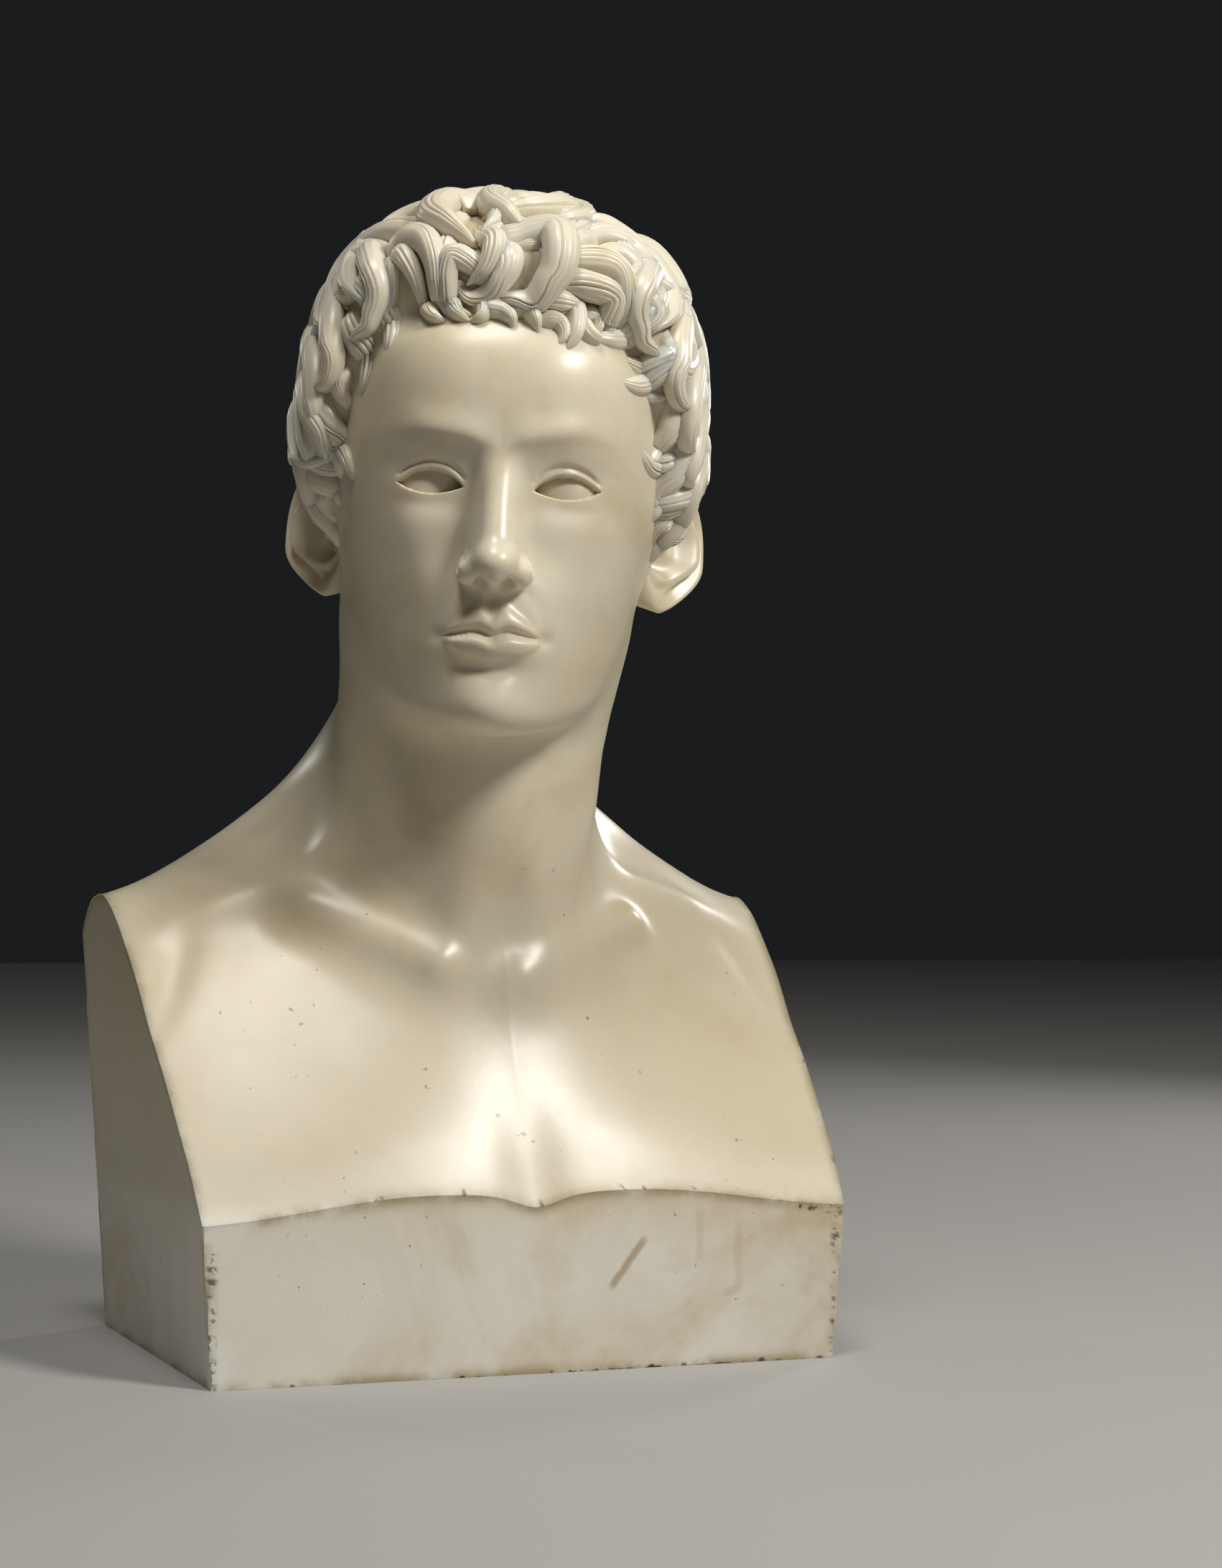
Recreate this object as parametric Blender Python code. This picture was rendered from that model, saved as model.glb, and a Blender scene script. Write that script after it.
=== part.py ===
"""A marble herm bust of a young man, all one stone: flat-sided chest, neck, turned head, short curls."""
import math

import bmesh
import bpy
import numpy as np

# Driving dimensions, in metres
BASE_WIDTH = 0.300
BASE_DEPTH = 0.196
SIDE_FLARE = 0.075
BAND_HEIGHT = 0.069
SHOULDER_HEIGHT = 0.213
CHIN_HEIGHT = 0.284
HEAD_HEIGHT = 0.236
HEAD_FORWARD = 0.022
NECK_WIDTH = 0.127

# The way the head is held, in radians: turned to its right, tipped a little to its left
HEAD_TURN = math.radians(-20)
HEAD_TIP = math.radians(2)

# Fineness of the solid
COLUMNS = 150
RINGS = 120
LOCK_RINGS = 16
LOCK_SIDES = 12
VOXEL = 0.0021
TRIANGLES = 9000
OVERSIZE = 0.004

# Worked out from the driving dimensions
HALF_WIDTH = BASE_WIDTH / 2
HALF_DEPTH = BASE_DEPTH / 2
CHEST_RISE = SHOULDER_HEIGHT - BAND_HEIGHT
NECK_RISE = CHIN_HEIGHT - SHOULDER_HEIGHT
CUT_TOP = SHOULDER_HEIGHT + 0.72 * NECK_RISE

# Places on the face, in heads: 0 under the chin, 1 at the crown
EYE_X, EYE_Z, EYE_HALF = 0.128, 0.487, 0.060
MOUTH_Z, MOUTH_HALF = 0.205, 0.100

# The hair: its middle and its outer envelope, in heads, and the whorl that the curls leave from
HAIR_CENTRE = np.array([0.0, 0.02, 0.60])
HAIR_ENVELOPE = np.array([0.450, 0.500, 0.536])
SIDE_ENVELOPE = np.array([0.380, 0.475, 0.460])
SKULL_RADII = (0.338, 0.428, 0.388)
SKULL_POWER = 2.35
WHORL = (math.radians(165), math.radians(58))
ROW_PITCH = 0.088
CURL_SPACING = 0.082
CURL_LENGTH = (0.25, 0.30)
SEED = 4

# The locks over the brow: width, rank, lean, and a route of (across, up) in the front elevation of the head
FRONT_LOCKS = [
    (0.068, 1.1, 0.2, [(0.03, 1.13), (-0.02, 1.10), (-0.04, 1.05), (-0.01, 1.01), (0.03, 0.97)]),
    (0.088, 0.9, -0.2, [(-0.02, 1.12), (-0.08, 1.07), (-0.13, 1.04), (-0.14, 1.00), (-0.11, 0.97),
                        (-0.06, 0.94)]),
    (0.085, 1, 0.2, [(-0.03, 0.97), (0.03, 0.98), (0.08, 0.97), (0.09, 0.92), (0.06, 0.89),
                     (0.00, 0.88), (-0.05, 0.88)]),
    (0.050, 0.6, 0, [(-0.06, 1.00), (-0.04, 0.96), (-0.03, 0.94), (-0.05, 0.91), (-0.09, 0.89)]),
    (0.044, 1, -0.2, [(-0.04, 0.90), (-0.08, 0.92), (-0.11, 0.92), (-0.12, 0.88), (-0.11, 0.85),
                      (-0.07, 0.84)]),
    (0.058, 0.8, 0.2, [(-0.24, 0.93), (-0.21, 0.95), (-0.17, 0.95), (-0.14, 0.92), (-0.14, 0.87),
                       (-0.12, 0.83)]),
    (0.054, 0.8, -0.2, [(-0.23, 0.93), (-0.26, 0.95), (-0.29, 0.94), (-0.30, 0.90), (-0.29, 0.86),
                        (-0.26, 0.83)]),
    (0.042, 0.4, 0.1, [(-0.23, 0.93), (-0.20, 0.92), (-0.18, 0.89), (-0.18, 0.84)]),
    (0.042, 0.4, -0.1, [(-0.23, 0.92), (-0.25, 0.91), (-0.26, 0.88), (-0.23, 0.84)]),
    (0.060, 0.6, -0.2, [(-0.10, 0.97), (-0.17, 0.99), (-0.23, 0.99), (-0.30, 0.96), (-0.33, 0.92),
                        (-0.34, 0.87), (-0.31, 0.83)]),
    (0.060, 0.5, -0.2, [(-0.10, 1.08), (-0.14, 1.06), (-0.20, 1.04), (-0.24, 1.01), (-0.26, 0.97)]),
    (0.055, 0.3, -0.2, [(-0.15, 1.10), (-0.21, 1.06), (-0.26, 1.02), (-0.30, 0.98), (-0.32, 0.94)]),
    (0.038, 0.7, 0.2, [(-0.07, 0.88), (-0.05, 0.86), (-0.01, 0.85), (0.01, 0.83), (0.01, 0.81)]),
    (0.042, 0.8, 0.2, [(-0.03, 0.87), (0.00, 0.86), (0.04, 0.86), (0.06, 0.83), (0.07, 0.80)]),
    (0.052, 1, 0.3, [(0.04, 0.85), (0.07, 0.88), (0.12, 0.88), (0.14, 0.85), (0.14, 0.80), (0.12, 0.76)]),
    (0.036, 0.6, 0.2, [(0.05, 0.85), (0.08, 0.84), (0.11, 0.83), (0.12, 0.80), (0.10, 0.77)]),
    (0.056, 0.8, 0.3, [(0.09, 0.90), (0.14, 0.90), (0.20, 0.88), (0.21, 0.84), (0.21, 0.80)]),
    (0.040, 0.6, 0.2, [(0.13, 0.87), (0.17, 0.86), (0.19, 0.84), (0.18, 0.80)]),
    (0.034, 1, 0.2, [(0.12, 0.88), (0.15, 0.84), (0.17, 0.81), (0.19, 0.80), (0.20, 0.81)]),
    (0.058, 0.8, 0.3, [(0.01, 1.06), (0.06, 1.09), (0.12, 1.08), (0.14, 1.04), (0.10, 1.01),
                       (0.06, 1.02)]),
    (0.050, 0.3, 0.3, [(0.03, 1.03), (0.07, 1.05), (0.10, 1.04), (0.09, 1.01)]),
    (0.060, 0.6, 0.3, [(0.11, 1.00), (0.17, 1.00), (0.23, 0.97), (0.26, 0.92), (0.24, 0.88)]),
    (0.045, 0.5, 0.3, [(0.15, 0.95), (0.20, 0.95), (0.23, 0.92), (0.21, 0.89)]),
    (0.060, 0.5, 0.2, [(0.10, 0.94), (0.15, 0.93), (0.20, 0.91), (0.23, 0.87), (0.23, 0.83)]),
    (0.056, 0.6, 0.3, [(0.18, 1.03), (0.23, 1.00), (0.28, 0.95), (0.31, 0.90), (0.31, 0.85),
                       (0.28, 0.81)]),
    (0.044, 0.6, 0.3, [(0.24, 0.90), (0.26, 0.87), (0.28, 0.84), (0.26, 0.81)]),
    (0.055, 0.4, 0.3, [(0.10, 1.09), (0.16, 1.06), (0.21, 1.03), (0.25, 0.99), (0.24, 0.95)]),
    (0.052, 0.7, 0.2, [(0.27, 0.96), (0.32, 0.92), (0.34, 0.86), (0.34, 0.81), (0.30, 0.79)]),
    (0.052, 0.7, -0.2, [(-0.30, 0.95), (-0.34, 0.91), (-0.36, 0.85), (-0.35, 0.81), (-0.31, 0.78)]),
]

# The locks over each temple and ear: width, rank, and a route of (forward, up) in the side elevation
SIDE_LOCKS = [
    (0.058, 0.8, [(0.10, 0.93), (0.19, 0.90), (0.27, 0.85), (0.28, 0.79), (0.25, 0.74)]),
    (0.058, 0.7, [(0.02, 0.87), (0.12, 0.84), (0.20, 0.80), (0.24, 0.74), (0.23, 0.68), (0.19, 0.66)]),
    (0.056, 0.8, [(0.00, 0.79), (0.09, 0.77), (0.17, 0.73), (0.21, 0.67), (0.20, 0.61), (0.16, 0.59)]),
    (0.054, 0.7, [(-0.04, 0.72), (0.05, 0.70), (0.13, 0.66), (0.17, 0.60), (0.17, 0.55), (0.12, 0.53)]),
    (0.048, 0.8, [(-0.02, 0.64), (0.05, 0.62), (0.11, 0.58), (0.14, 0.53), (0.12, 0.47), (0.09, 0.47)]),
    (0.036, 0.8, [(0.05, 0.55), (0.10, 0.52), (0.12, 0.47), (0.11, 0.42), (0.08, 0.42)]),
    (0.030, 0.8, [(0.06, 0.48), (0.10, 0.46), (0.11, 0.41), (0.10, 0.38), (0.07, 0.38)]),
    (0.050, 1, [(-0.03, 0.72), (-0.04, 0.66), (-0.02, 0.60), (0.03, 0.56), (0.06, 0.59)]),
    (0.050, 0.8, [(-0.11, 0.70), (-0.13, 0.64), (-0.11, 0.58), (-0.07, 0.55), (-0.03, 0.57)]),
    (0.050, 0.9, [(-0.19, 0.68), (-0.21, 0.61), (-0.19, 0.55), (-0.15, 0.52), (-0.12, 0.55)]),
    (0.050, 0.7, [(-0.24, 0.60), (-0.26, 0.53), (-0.24, 0.47), (-0.20, 0.45), (-0.17, 0.47)]),
    (0.052, 0.6, [(-0.08, 0.80), (-0.05, 0.75), (-0.07, 0.69), (-0.12, 0.66)]),
    (0.052, 0.6, [(0.06, 0.92), (0.07, 0.86), (0.03, 0.81), (-0.02, 0.80)]),
]


# Small helpers for smooth forms, which are distances: below nought is stone

def blend_min(a, b, k):
    h = np.clip(0.5 + 0.5 * (b - a) / k, 0, 1)
    return b * (1 - h) + a * h - k * h * (1 - h)


def blend_max(a, b, k):
    return -blend_min(-a, -b, k)


def bell(t, width):
    return np.exp(-((t / width) ** 2))


def ease(low, high, t):
    u = np.clip((t - low) / (high - low), 0, 1)
    return u * u * (3 - 2 * u)


def curve(pairs, blur):
    """A smooth function through about the places given, running on straight past both ends."""
    xs, ys = np.array(pairs, float).T
    start, end = (ys[1] - ys[0]) / (xs[1] - xs[0]), (ys[-1] - ys[-2]) / (xs[-1] - xs[-2])
    grid = np.linspace(xs[0] - 4 * blur, xs[-1] + 4 * blur, 600)
    raw = np.interp(grid, xs, ys)
    raw = np.where(grid < xs[0], ys[0] + (grid - xs[0]) * start, raw)
    raw = np.where(grid > xs[-1], ys[-1] + (grid - xs[-1]) * end, raw)
    step = grid[1] - grid[0]
    reach = int(3 * blur / step) + 1
    share = bell(np.arange(-reach, reach + 1) * step, blur)
    smooth = np.convolve(np.pad(raw, reach, mode="edge"), share / share.sum(), mode="valid")
    return lambda t: np.interp(t, grid, smooth)


def ellipsoid(x, y, z, centre, radii):
    a, b, c = (x - centre[0]) / radii[0], (y - centre[1]) / radii[1], (z - centre[2]) / radii[2]
    k0 = np.sqrt(a * a + b * b + c * c)
    k1 = np.sqrt((a / radii[0]) ** 2 + (b / radii[1]) ** 2 + (c / radii[2]) ** 2) + 1e-9
    return k0 * (k0 - 1) / k1


def cone(x, y, z, a, b, radius_a, radius_b):
    """A round-ended bar whose radius runs from one end to the other."""
    p = np.stack([x - a[0], y - a[1], z - a[2]], -1)
    ab = np.array(b, float) - np.array(a, float)
    h = np.clip((p @ ab) / (ab @ ab), 0, 1)
    return np.linalg.norm(p - h[..., None] * ab, axis=-1) - (radius_a + (radius_b - radius_a) * h)


# The face and skull, in heads, looking to -y

face_half_width = curve([(-0.1, 0.10), (0.0, 0.172), (0.05, 0.200), (0.1, 0.226), (0.2, 0.264), (0.3, 0.288),
                         (0.4, 0.304), (0.46, 0.308), (0.55, 0.303), (0.65, 0.304), (0.8, 0.295)], 0.035)
face_front = curve([(-0.1, -0.345), (0.0, -0.388), (0.05, -0.400), (0.12, -0.394), (0.2, -0.398), (0.3, -0.392),
                    (0.38, -0.380), (0.47, -0.380), (0.53, -0.392), (0.60, -0.408), (0.68, -0.410), (0.78, -0.392),
                    (0.88, -0.35)], 0.03)
face_square = curve([(-0.1, 2.0), (0.1, 2.05), (0.2, 2.15), (0.35, 2.35), (0.5, 2.5), (0.8, 2.4)], 0.05)
hairline = curve([(0, 0.845), (22, 0.840), (36, 0.800), (46, 0.700), (54, 0.560), (64, 0.430), (76, 0.400),
                  (86, 0.470), (98, 0.500), (110, 0.380), (135, 0.250), (180, 0.180)], 3.0)


def lid_edges(x):
    """Heights of the lids' edges, with the place along the eye from -1 to 1."""
    u = (np.abs(x) - EYE_X) / EYE_HALF
    arch = np.clip(1 - u * u, 0, None)
    upper = EYE_Z + 0.003 * u + 0.0315 * arch ** 0.72 * (1 - 0.10 * u)
    lower = EYE_Z + 0.003 * u - 0.0195 * arch ** 0.80 * (1 + 0.22 * u)
    return u, upper, lower


def lip_side(t, quick, fall):
    return (1 - np.exp(-((t / quick) ** 1.7))) * (1 - fall * np.clip(t, 0, 1) ** 2)


def lips(x, z):
    ax = np.abs(x)
    u = np.clip(ax / MOUTH_HALF, 0, 1)
    line = MOUTH_Z + 0.0055 * bell(ax - 0.034, 0.022) - 0.0035 * bell(x, 0.014) - 0.004 * ease(0.6, 1.0, u)
    bow = 0.0350 * (1 - u ** 1.9) ** 0.9 - 0.0060 * bell(x, 0.014) + 0.0030 * bell(ax - 0.026, 0.014)
    belly = 0.0400 * (1 - u ** 2.3) ** 0.85
    up = np.clip((z - line) / np.maximum(bow, 1e-4), 0, None)
    down = np.clip((line - z) / np.maximum(belly, 1e-4), 0, None)
    top = 0.0180 * lip_side(up, 0.42, 0.35) * bell(np.clip(up - 1, 0, None), 0.42)
    low = 0.0215 * lip_side(down, 0.36, 0.30) * bell(np.clip(down - 1, 0, None), 0.50)
    out = np.where(z >= line, top, low) * ease(1.0, 0.80, u) * (1 - 0.50 * u ** 2)
    out -= 0.0040 * bell(z - line, 0.0095) * ease(1.08, 0.85, ax / MOUTH_HALF)
    out -= 0.0080 * bell(ax - MOUTH_HALF * 1.02, 0.016) * bell(z - (MOUTH_Z - 0.003), 0.016)
    return out


def face_swell(x, z):
    """How far the carving stands forward of the plain face."""
    ax = np.abs(x)
    brow_z = 0.562 + 0.030 * np.sin(np.clip(ax / 0.25, 0, 1) * math.pi * 0.72)
    out = 0.013 * bell(z - brow_z, 0.024) * ease(0.26, 0.12, ax) * ease(-0.03, 0.06, ax)
    # the sockets, deepest beside the nose
    out -= 0.050 * bell(ax - 0.086, 0.046) * bell(z - 0.513, 0.036)
    out -= 0.020 * bell(ax - 0.165, 0.055) * bell(z - 0.520, 0.030)
    out -= 0.020 * bell(ax - 0.110, 0.060) * bell(z - 0.462, 0.030)
    # the cheekbones and the hollows under them
    out += 0.014 * bell(ax - 0.185, 0.075) * bell(z - 0.405, 0.062)
    out -= 0.010 * bell(ax - 0.185, 0.060) * bell(z - 0.235, 0.075)
    out += 0.005 * bell(ax - 0.12, 0.08) * bell(z - 0.72, 0.06)
    # the mouth's mound and the groove over it
    out += 0.020 * bell(x, 0.105) * bell(z - 0.222, 0.075)
    keep = ease(0.238, 0.262, z) * ease(0.312, 0.285, z)
    out += keep * (0.0038 * bell(ax - 0.020, 0.0095) - 0.0048 * bell(x, 0.0105))
    # the hollow under the lower lip, and the chin
    out -= 0.013 * bell(x, 0.062) * bell(z - 0.143, 0.019)
    out += 0.019 * bell(x, 0.075) * bell(z - 0.072, 0.048)
    # the folds from the nose to the corners of the mouth
    fold_x = 0.070 + (0.30 - z) * 0.42
    out -= 0.0045 * bell(ax - fold_x, 0.014) * ease(0.205, 0.235, z) * ease(0.315, 0.275, z)
    return out + lips(x, z)


def skull_share(x, y, z):
    a, b, c = np.abs(x) / SKULL_RADII[0], np.abs(y - 0.022) / SKULL_RADII[1], np.abs(z - 0.612) / SKULL_RADII[2]
    return (a ** SKULL_POWER + b ** SKULL_POWER + c ** SKULL_POWER) ** (1 / SKULL_POWER)


def over_hairline(x, y, z):
    """Height over the edge of the hair, which depends on the way round the head."""
    return z - hairline(np.degrees(np.abs(np.arctan2(x, HAIR_CENTRE[1] - y))))


def hair_base_depth(z, over):
    """How far the plain mass under the locks stands off the skull, rising from the edge of the hair."""
    return 0.022 * ease(-0.012, 0.040, over) + (0.026 + 0.018 * ease(0.7, 1.0, z)) * ease(0.0, 0.11, over)


def head_form(x, y, z):
    ax = np.abs(x)
    skull = (skull_share(x, y, z) - 1) * 0.35 - hair_base_depth(z, over_hairline(x, y, z))
    ys = y + face_swell(x, z) * ease(0.05, -0.12, y)
    width, front, square = face_half_width(z), face_front(z), face_square(z)
    middle = -0.02
    depth = np.where(ys < middle, middle - front, 0.20)
    rho = ((ax / width) ** square + (np.abs(ys - middle) / depth) ** square) ** (1 / square)
    mask = (rho - 1) * np.minimum(width, depth) * 1.05
    mask = blend_max(mask, (0.22 * (y + 0.36) - z) * 0.95, 0.07)
    mask = blend_max(mask, z - 0.80, 0.1)
    f = blend_min(skull, mask, 0.055)
    f = eyes(f, x, y, z)
    return nose(f, x, y, z)


def eyes(f, x, y, z):
    ax = np.abs(x)
    lids = ellipsoid(ax, y, z, (EYE_X, -0.302, EYE_Z), (0.079, 0.069, 0.066))
    f = blend_min(f, lids, 0.014)
    u, upper, lower = lid_edges(x)
    near = ease(1.2, 0.8, np.abs(u)) * ease(-0.22, -0.30, y)
    f = f + 0.0042 * bell(z - upper - 0.0165, 0.0042) * near
    opening = np.minimum(np.minimum(upper - z, z - lower), (1 - np.abs(u)) * EYE_HALF)
    f = blend_max(f, np.minimum(opening, -0.302 - y) * 0.9, 0.0022)
    ball = ellipsoid(ax, y, z, (EYE_X, -0.302, EYE_Z + 0.002), (0.071, 0.060, 0.058))
    return np.minimum(f, ball)


def nose(f, x, y, z):
    ax = np.abs(x)
    f = blend_min(f, cone(x, y, z, (0, -0.352, 0.520), (0, -0.410, 0.345), 0.034, 0.052), 0.034)
    f = blend_min(f, cone(x, y, z, (0, -0.382, 0.560), (0, -0.452, 0.352), 0.026, 0.030), 0.024)
    f = blend_min(f, ellipsoid(x, y, z, (0, -0.461, 0.335), (0.040, 0.041, 0.033)), 0.024)
    f = blend_min(f, ellipsoid(ax, y, z, (0.045, -0.424, 0.322), (0.027, 0.037, 0.027)), 0.012)
    f = blend_min(f, cone(x, y, z, (0, -0.474, 0.312), (0, -0.412, 0.300), 0.014, 0.015), 0.012)
    return blend_max(f, -ellipsoid(ax, y, z, (0.0262, -0.438, 0.297), (0.0125, 0.024, 0.017)), 0.006)


def into_head(p):
    """Places in metres, in heads."""
    x, y, z = p[..., 0], p[..., 1] + HEAD_FORWARD, p[..., 2] - CHIN_HEIGHT
    c, s = math.cos(HEAD_TURN), math.sin(HEAD_TURN)
    x, y = c * x + s * y, -s * x + c * y
    c, s = math.cos(HEAD_TIP), math.sin(HEAD_TIP)
    x, z = c * x - s * z, s * x + c * z
    return x / HEAD_HEIGHT, y / HEAD_HEIGHT, z / HEAD_HEIGHT


def out_of_head(p):
    """Places in heads, in metres."""
    x, y, z = p[..., 0] * HEAD_HEIGHT, p[..., 1] * HEAD_HEIGHT, p[..., 2] * HEAD_HEIGHT
    c, s = math.cos(HEAD_TIP), math.sin(HEAD_TIP)
    x, z = c * x + s * z, -s * x + c * z
    c, s = math.cos(HEAD_TURN), math.sin(HEAD_TURN)
    x, y = c * x - s * y, s * x + c * y
    return np.stack([x, y - HEAD_FORWARD, z + CHIN_HEIGHT], -1)


# The chest and neck; across and back are shares of the block's half width and half depth

side_profile = curve([(-1.33, -0.20), (-1.0, 0.0), (-0.867, 0.146), (-0.612, 0.333), (-0.306, 0.549), (0.0, 0.757),
                      (0.306, 0.931), (0.51, 0.997), (0.765, 0.972), (0.969, 0.882), (1.12, 0.757)], 0.08)
trapezius = curve([(-0.13, 2.25), (0.2, 1.62), (0.433, 0.958), (0.533, 0.725), (0.667, 0.514), (0.833, 0.282),
                   (0.967, 0.113), (1.107, 0.0), (1.33, 0.0)], 0.053)


def chest_top(x, y):
    """Height of the chest and shoulders, before the neck."""
    u, v = np.abs(x) / HALF_WIDTH, y / HALF_DEPTH
    lower = bell(v + 0.969, 0.51)
    carve = 0.055 * lower * bell(u - 0.413, 0.413) + 0.010 * lower * bell(u, 0.133)
    carve -= 0.040 * bell(u, 0.075) * ease(-0.459, -0.867, v)
    # the collar bones and the pits behind them
    bone = -0.224 + 0.551 * (u - 0.08) - 0.264 * np.clip(u - 0.333, 0, None) ** 2
    carve += 0.042 * bell(v - bone, 0.0765) * ease(0.053, 0.133, u) * ease(1.1, 0.8, u)
    carve += 0.040 * bell(v + 0.205, 0.060) * bell(u - 0.115, 0.045)
    carve -= 0.056 * bell(v - bone - 0.224, 0.122) * bell(u - 0.5, 0.187)
    # the groove between shoulder and breast
    carve -= 0.014 * bell((v + 0.122 - 1.76 * (1 - u)) * 0.66, 0.0950) * ease(0.787, 1.0, u)
    rise = ease(-1.22, 0.56, v) * (0.36 + 0.64 * ease(1.07, 0.63, v))
    return BAND_HEIGHT + CHEST_RISE * (side_profile(v) + carve) + NECK_RISE * trapezius(u) * rise


def neck_form(x, y, z):
    h = HEAD_HEIGHT
    low, pit = SHOULDER_HEIGHT - 0.75 * NECK_RISE, SHOULDER_HEIGHT - 0.32 * NECK_RISE
    nape = (0, -0.017 * h, CHIN_HEIGHT + 0.24 * h)
    f = cone(x, y, z, (0, 0.10 * h, low), nape, NECK_WIDTH * 0.52, NECK_WIDTH * 0.49)
    for side in (-1, 1):
        # the muscle from behind each ear to the pit of the neck
        ear = out_of_head(np.array([side * 0.19, 0.093, 0.237]))
        muscle = cone(x, y, z, ear, (side * 0.06 * h, -0.127 * h, pit), 0.074 * h, 0.036 * h)
        f = blend_min(f, muscle, 0.085 * h)
    throat = cone(x, y, z, (-0.025 * h, -0.17 * h, CHIN_HEIGHT), (0, -0.127 * h, pit), 0.085 * h, 0.06 * h)
    f = blend_min(f, throat, 0.106 * h)
    notch = ellipsoid(x, y, z, (0, -0.285 * h, pit + 0.060 * h), (0.060 * h, 0.055 * h, 0.085 * h))
    return f, notch


def trunk_form(x, y, z):
    neck, notch = neck_form(x, y, z)
    f = blend_min((z - chest_top(x, y)) * 0.72, neck, 0.115 * HEAD_HEIGHT)
    return blend_max(f, -notch, 0.085 * HEAD_HEIGHT)


def flesh(p):
    hx, hy, hz = into_head(p)
    head = head_form(hx, hy, hz) * HEAD_HEIGHT
    return blend_min(trunk_form(p[..., 0], p[..., 1], p[..., 2]), head, 0.068 * HEAD_HEIGHT)


# Lines down the surface, found by casting rays from inside the stone

def cast(origin, direction, reach, form):
    """First place along each ray where the form ends."""
    near = np.zeros(len(origin))
    far = np.full(len(origin), reach)
    alive = np.arange(len(origin))
    while len(alive):
        depth = form(origin[alive] + direction[alive] * near[alive, None])
        out = depth > 0
        far[alive[out]] = near[alive[out]]
        near[alive[~out]] += np.clip(-0.75 * depth, 0.004 * reach, 0.0125 * reach)[~out]
        alive = alive[~out & (near[alive] < reach)]
    low, high = far - 0.014 * reach, far.copy()
    for _ in range(11):
        mid = (low + high) / 2
        outside = form(origin + direction * mid[:, None]) > 0
        high = np.where(outside, mid, high)
        low = np.where(outside, low, mid)
    return origin + direction * ((low + high) / 2)[:, None]


def spread(stations, total):
    """Values from the first station to the last, closer where a station asks for a finer step."""
    value, step = np.array(stations, float).T
    fine = np.linspace(value[0], value[-1], 4001)
    dense = np.interp(fine, value, 1 / step)
    gone = np.concatenate([[0], np.cumsum((dense[1:] + dense[:-1]) / 2)])
    return np.interp(np.linspace(0, gone[-1], total), gone, fine)


def ray_direction(azimuth, elevation):
    """Azimuth 0 is the front, and positive azimuths turn to +x."""
    flat = np.cos(elevation)
    return np.stack([np.sin(azimuth) * flat, -np.cos(azimuth) * flat, np.sin(elevation) + 0 * azimuth], -1)


def wall_point(azimuth, z, grow=0.0):
    """Where the block's upright planes lie, seen from its middle line."""
    across, along = np.sin(azimuth), -np.cos(azimuth)
    half = HALF_WIDTH + SIDE_FLARE * z + grow
    side, end = np.maximum(np.abs(across), 1e-6), np.maximum(np.abs(along), 1e-6)
    reach = np.minimum(half / side, (HALF_DEPTH + grow) / end)
    return np.stack([across * reach, along * reach, z + 0 * azimuth], -1)


def arris_height(azimuth, grow=0.0):
    low, high = np.full(len(azimuth), 0.1 * BAND_HEIGHT), np.full(len(azimuth), CHIN_HEIGHT)
    for _ in range(30):
        mid = (low + high) / 2
        out = trunk_form(*wall_point(azimuth, mid, grow).T) > 0
        high = np.where(out, mid, high)
        low = np.where(out, low, mid)
    return (low + high) / 2


def root_height(azimuth):
    """Where the neck's lines end: low at the pit of the throat, high where the shoulders rise to it."""
    return SHOULDER_HEIGHT + NECK_RISE * (0.86 - 0.51 * np.cos(azimuth) - 0.42 * np.cos(2 * azimuth))


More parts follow.
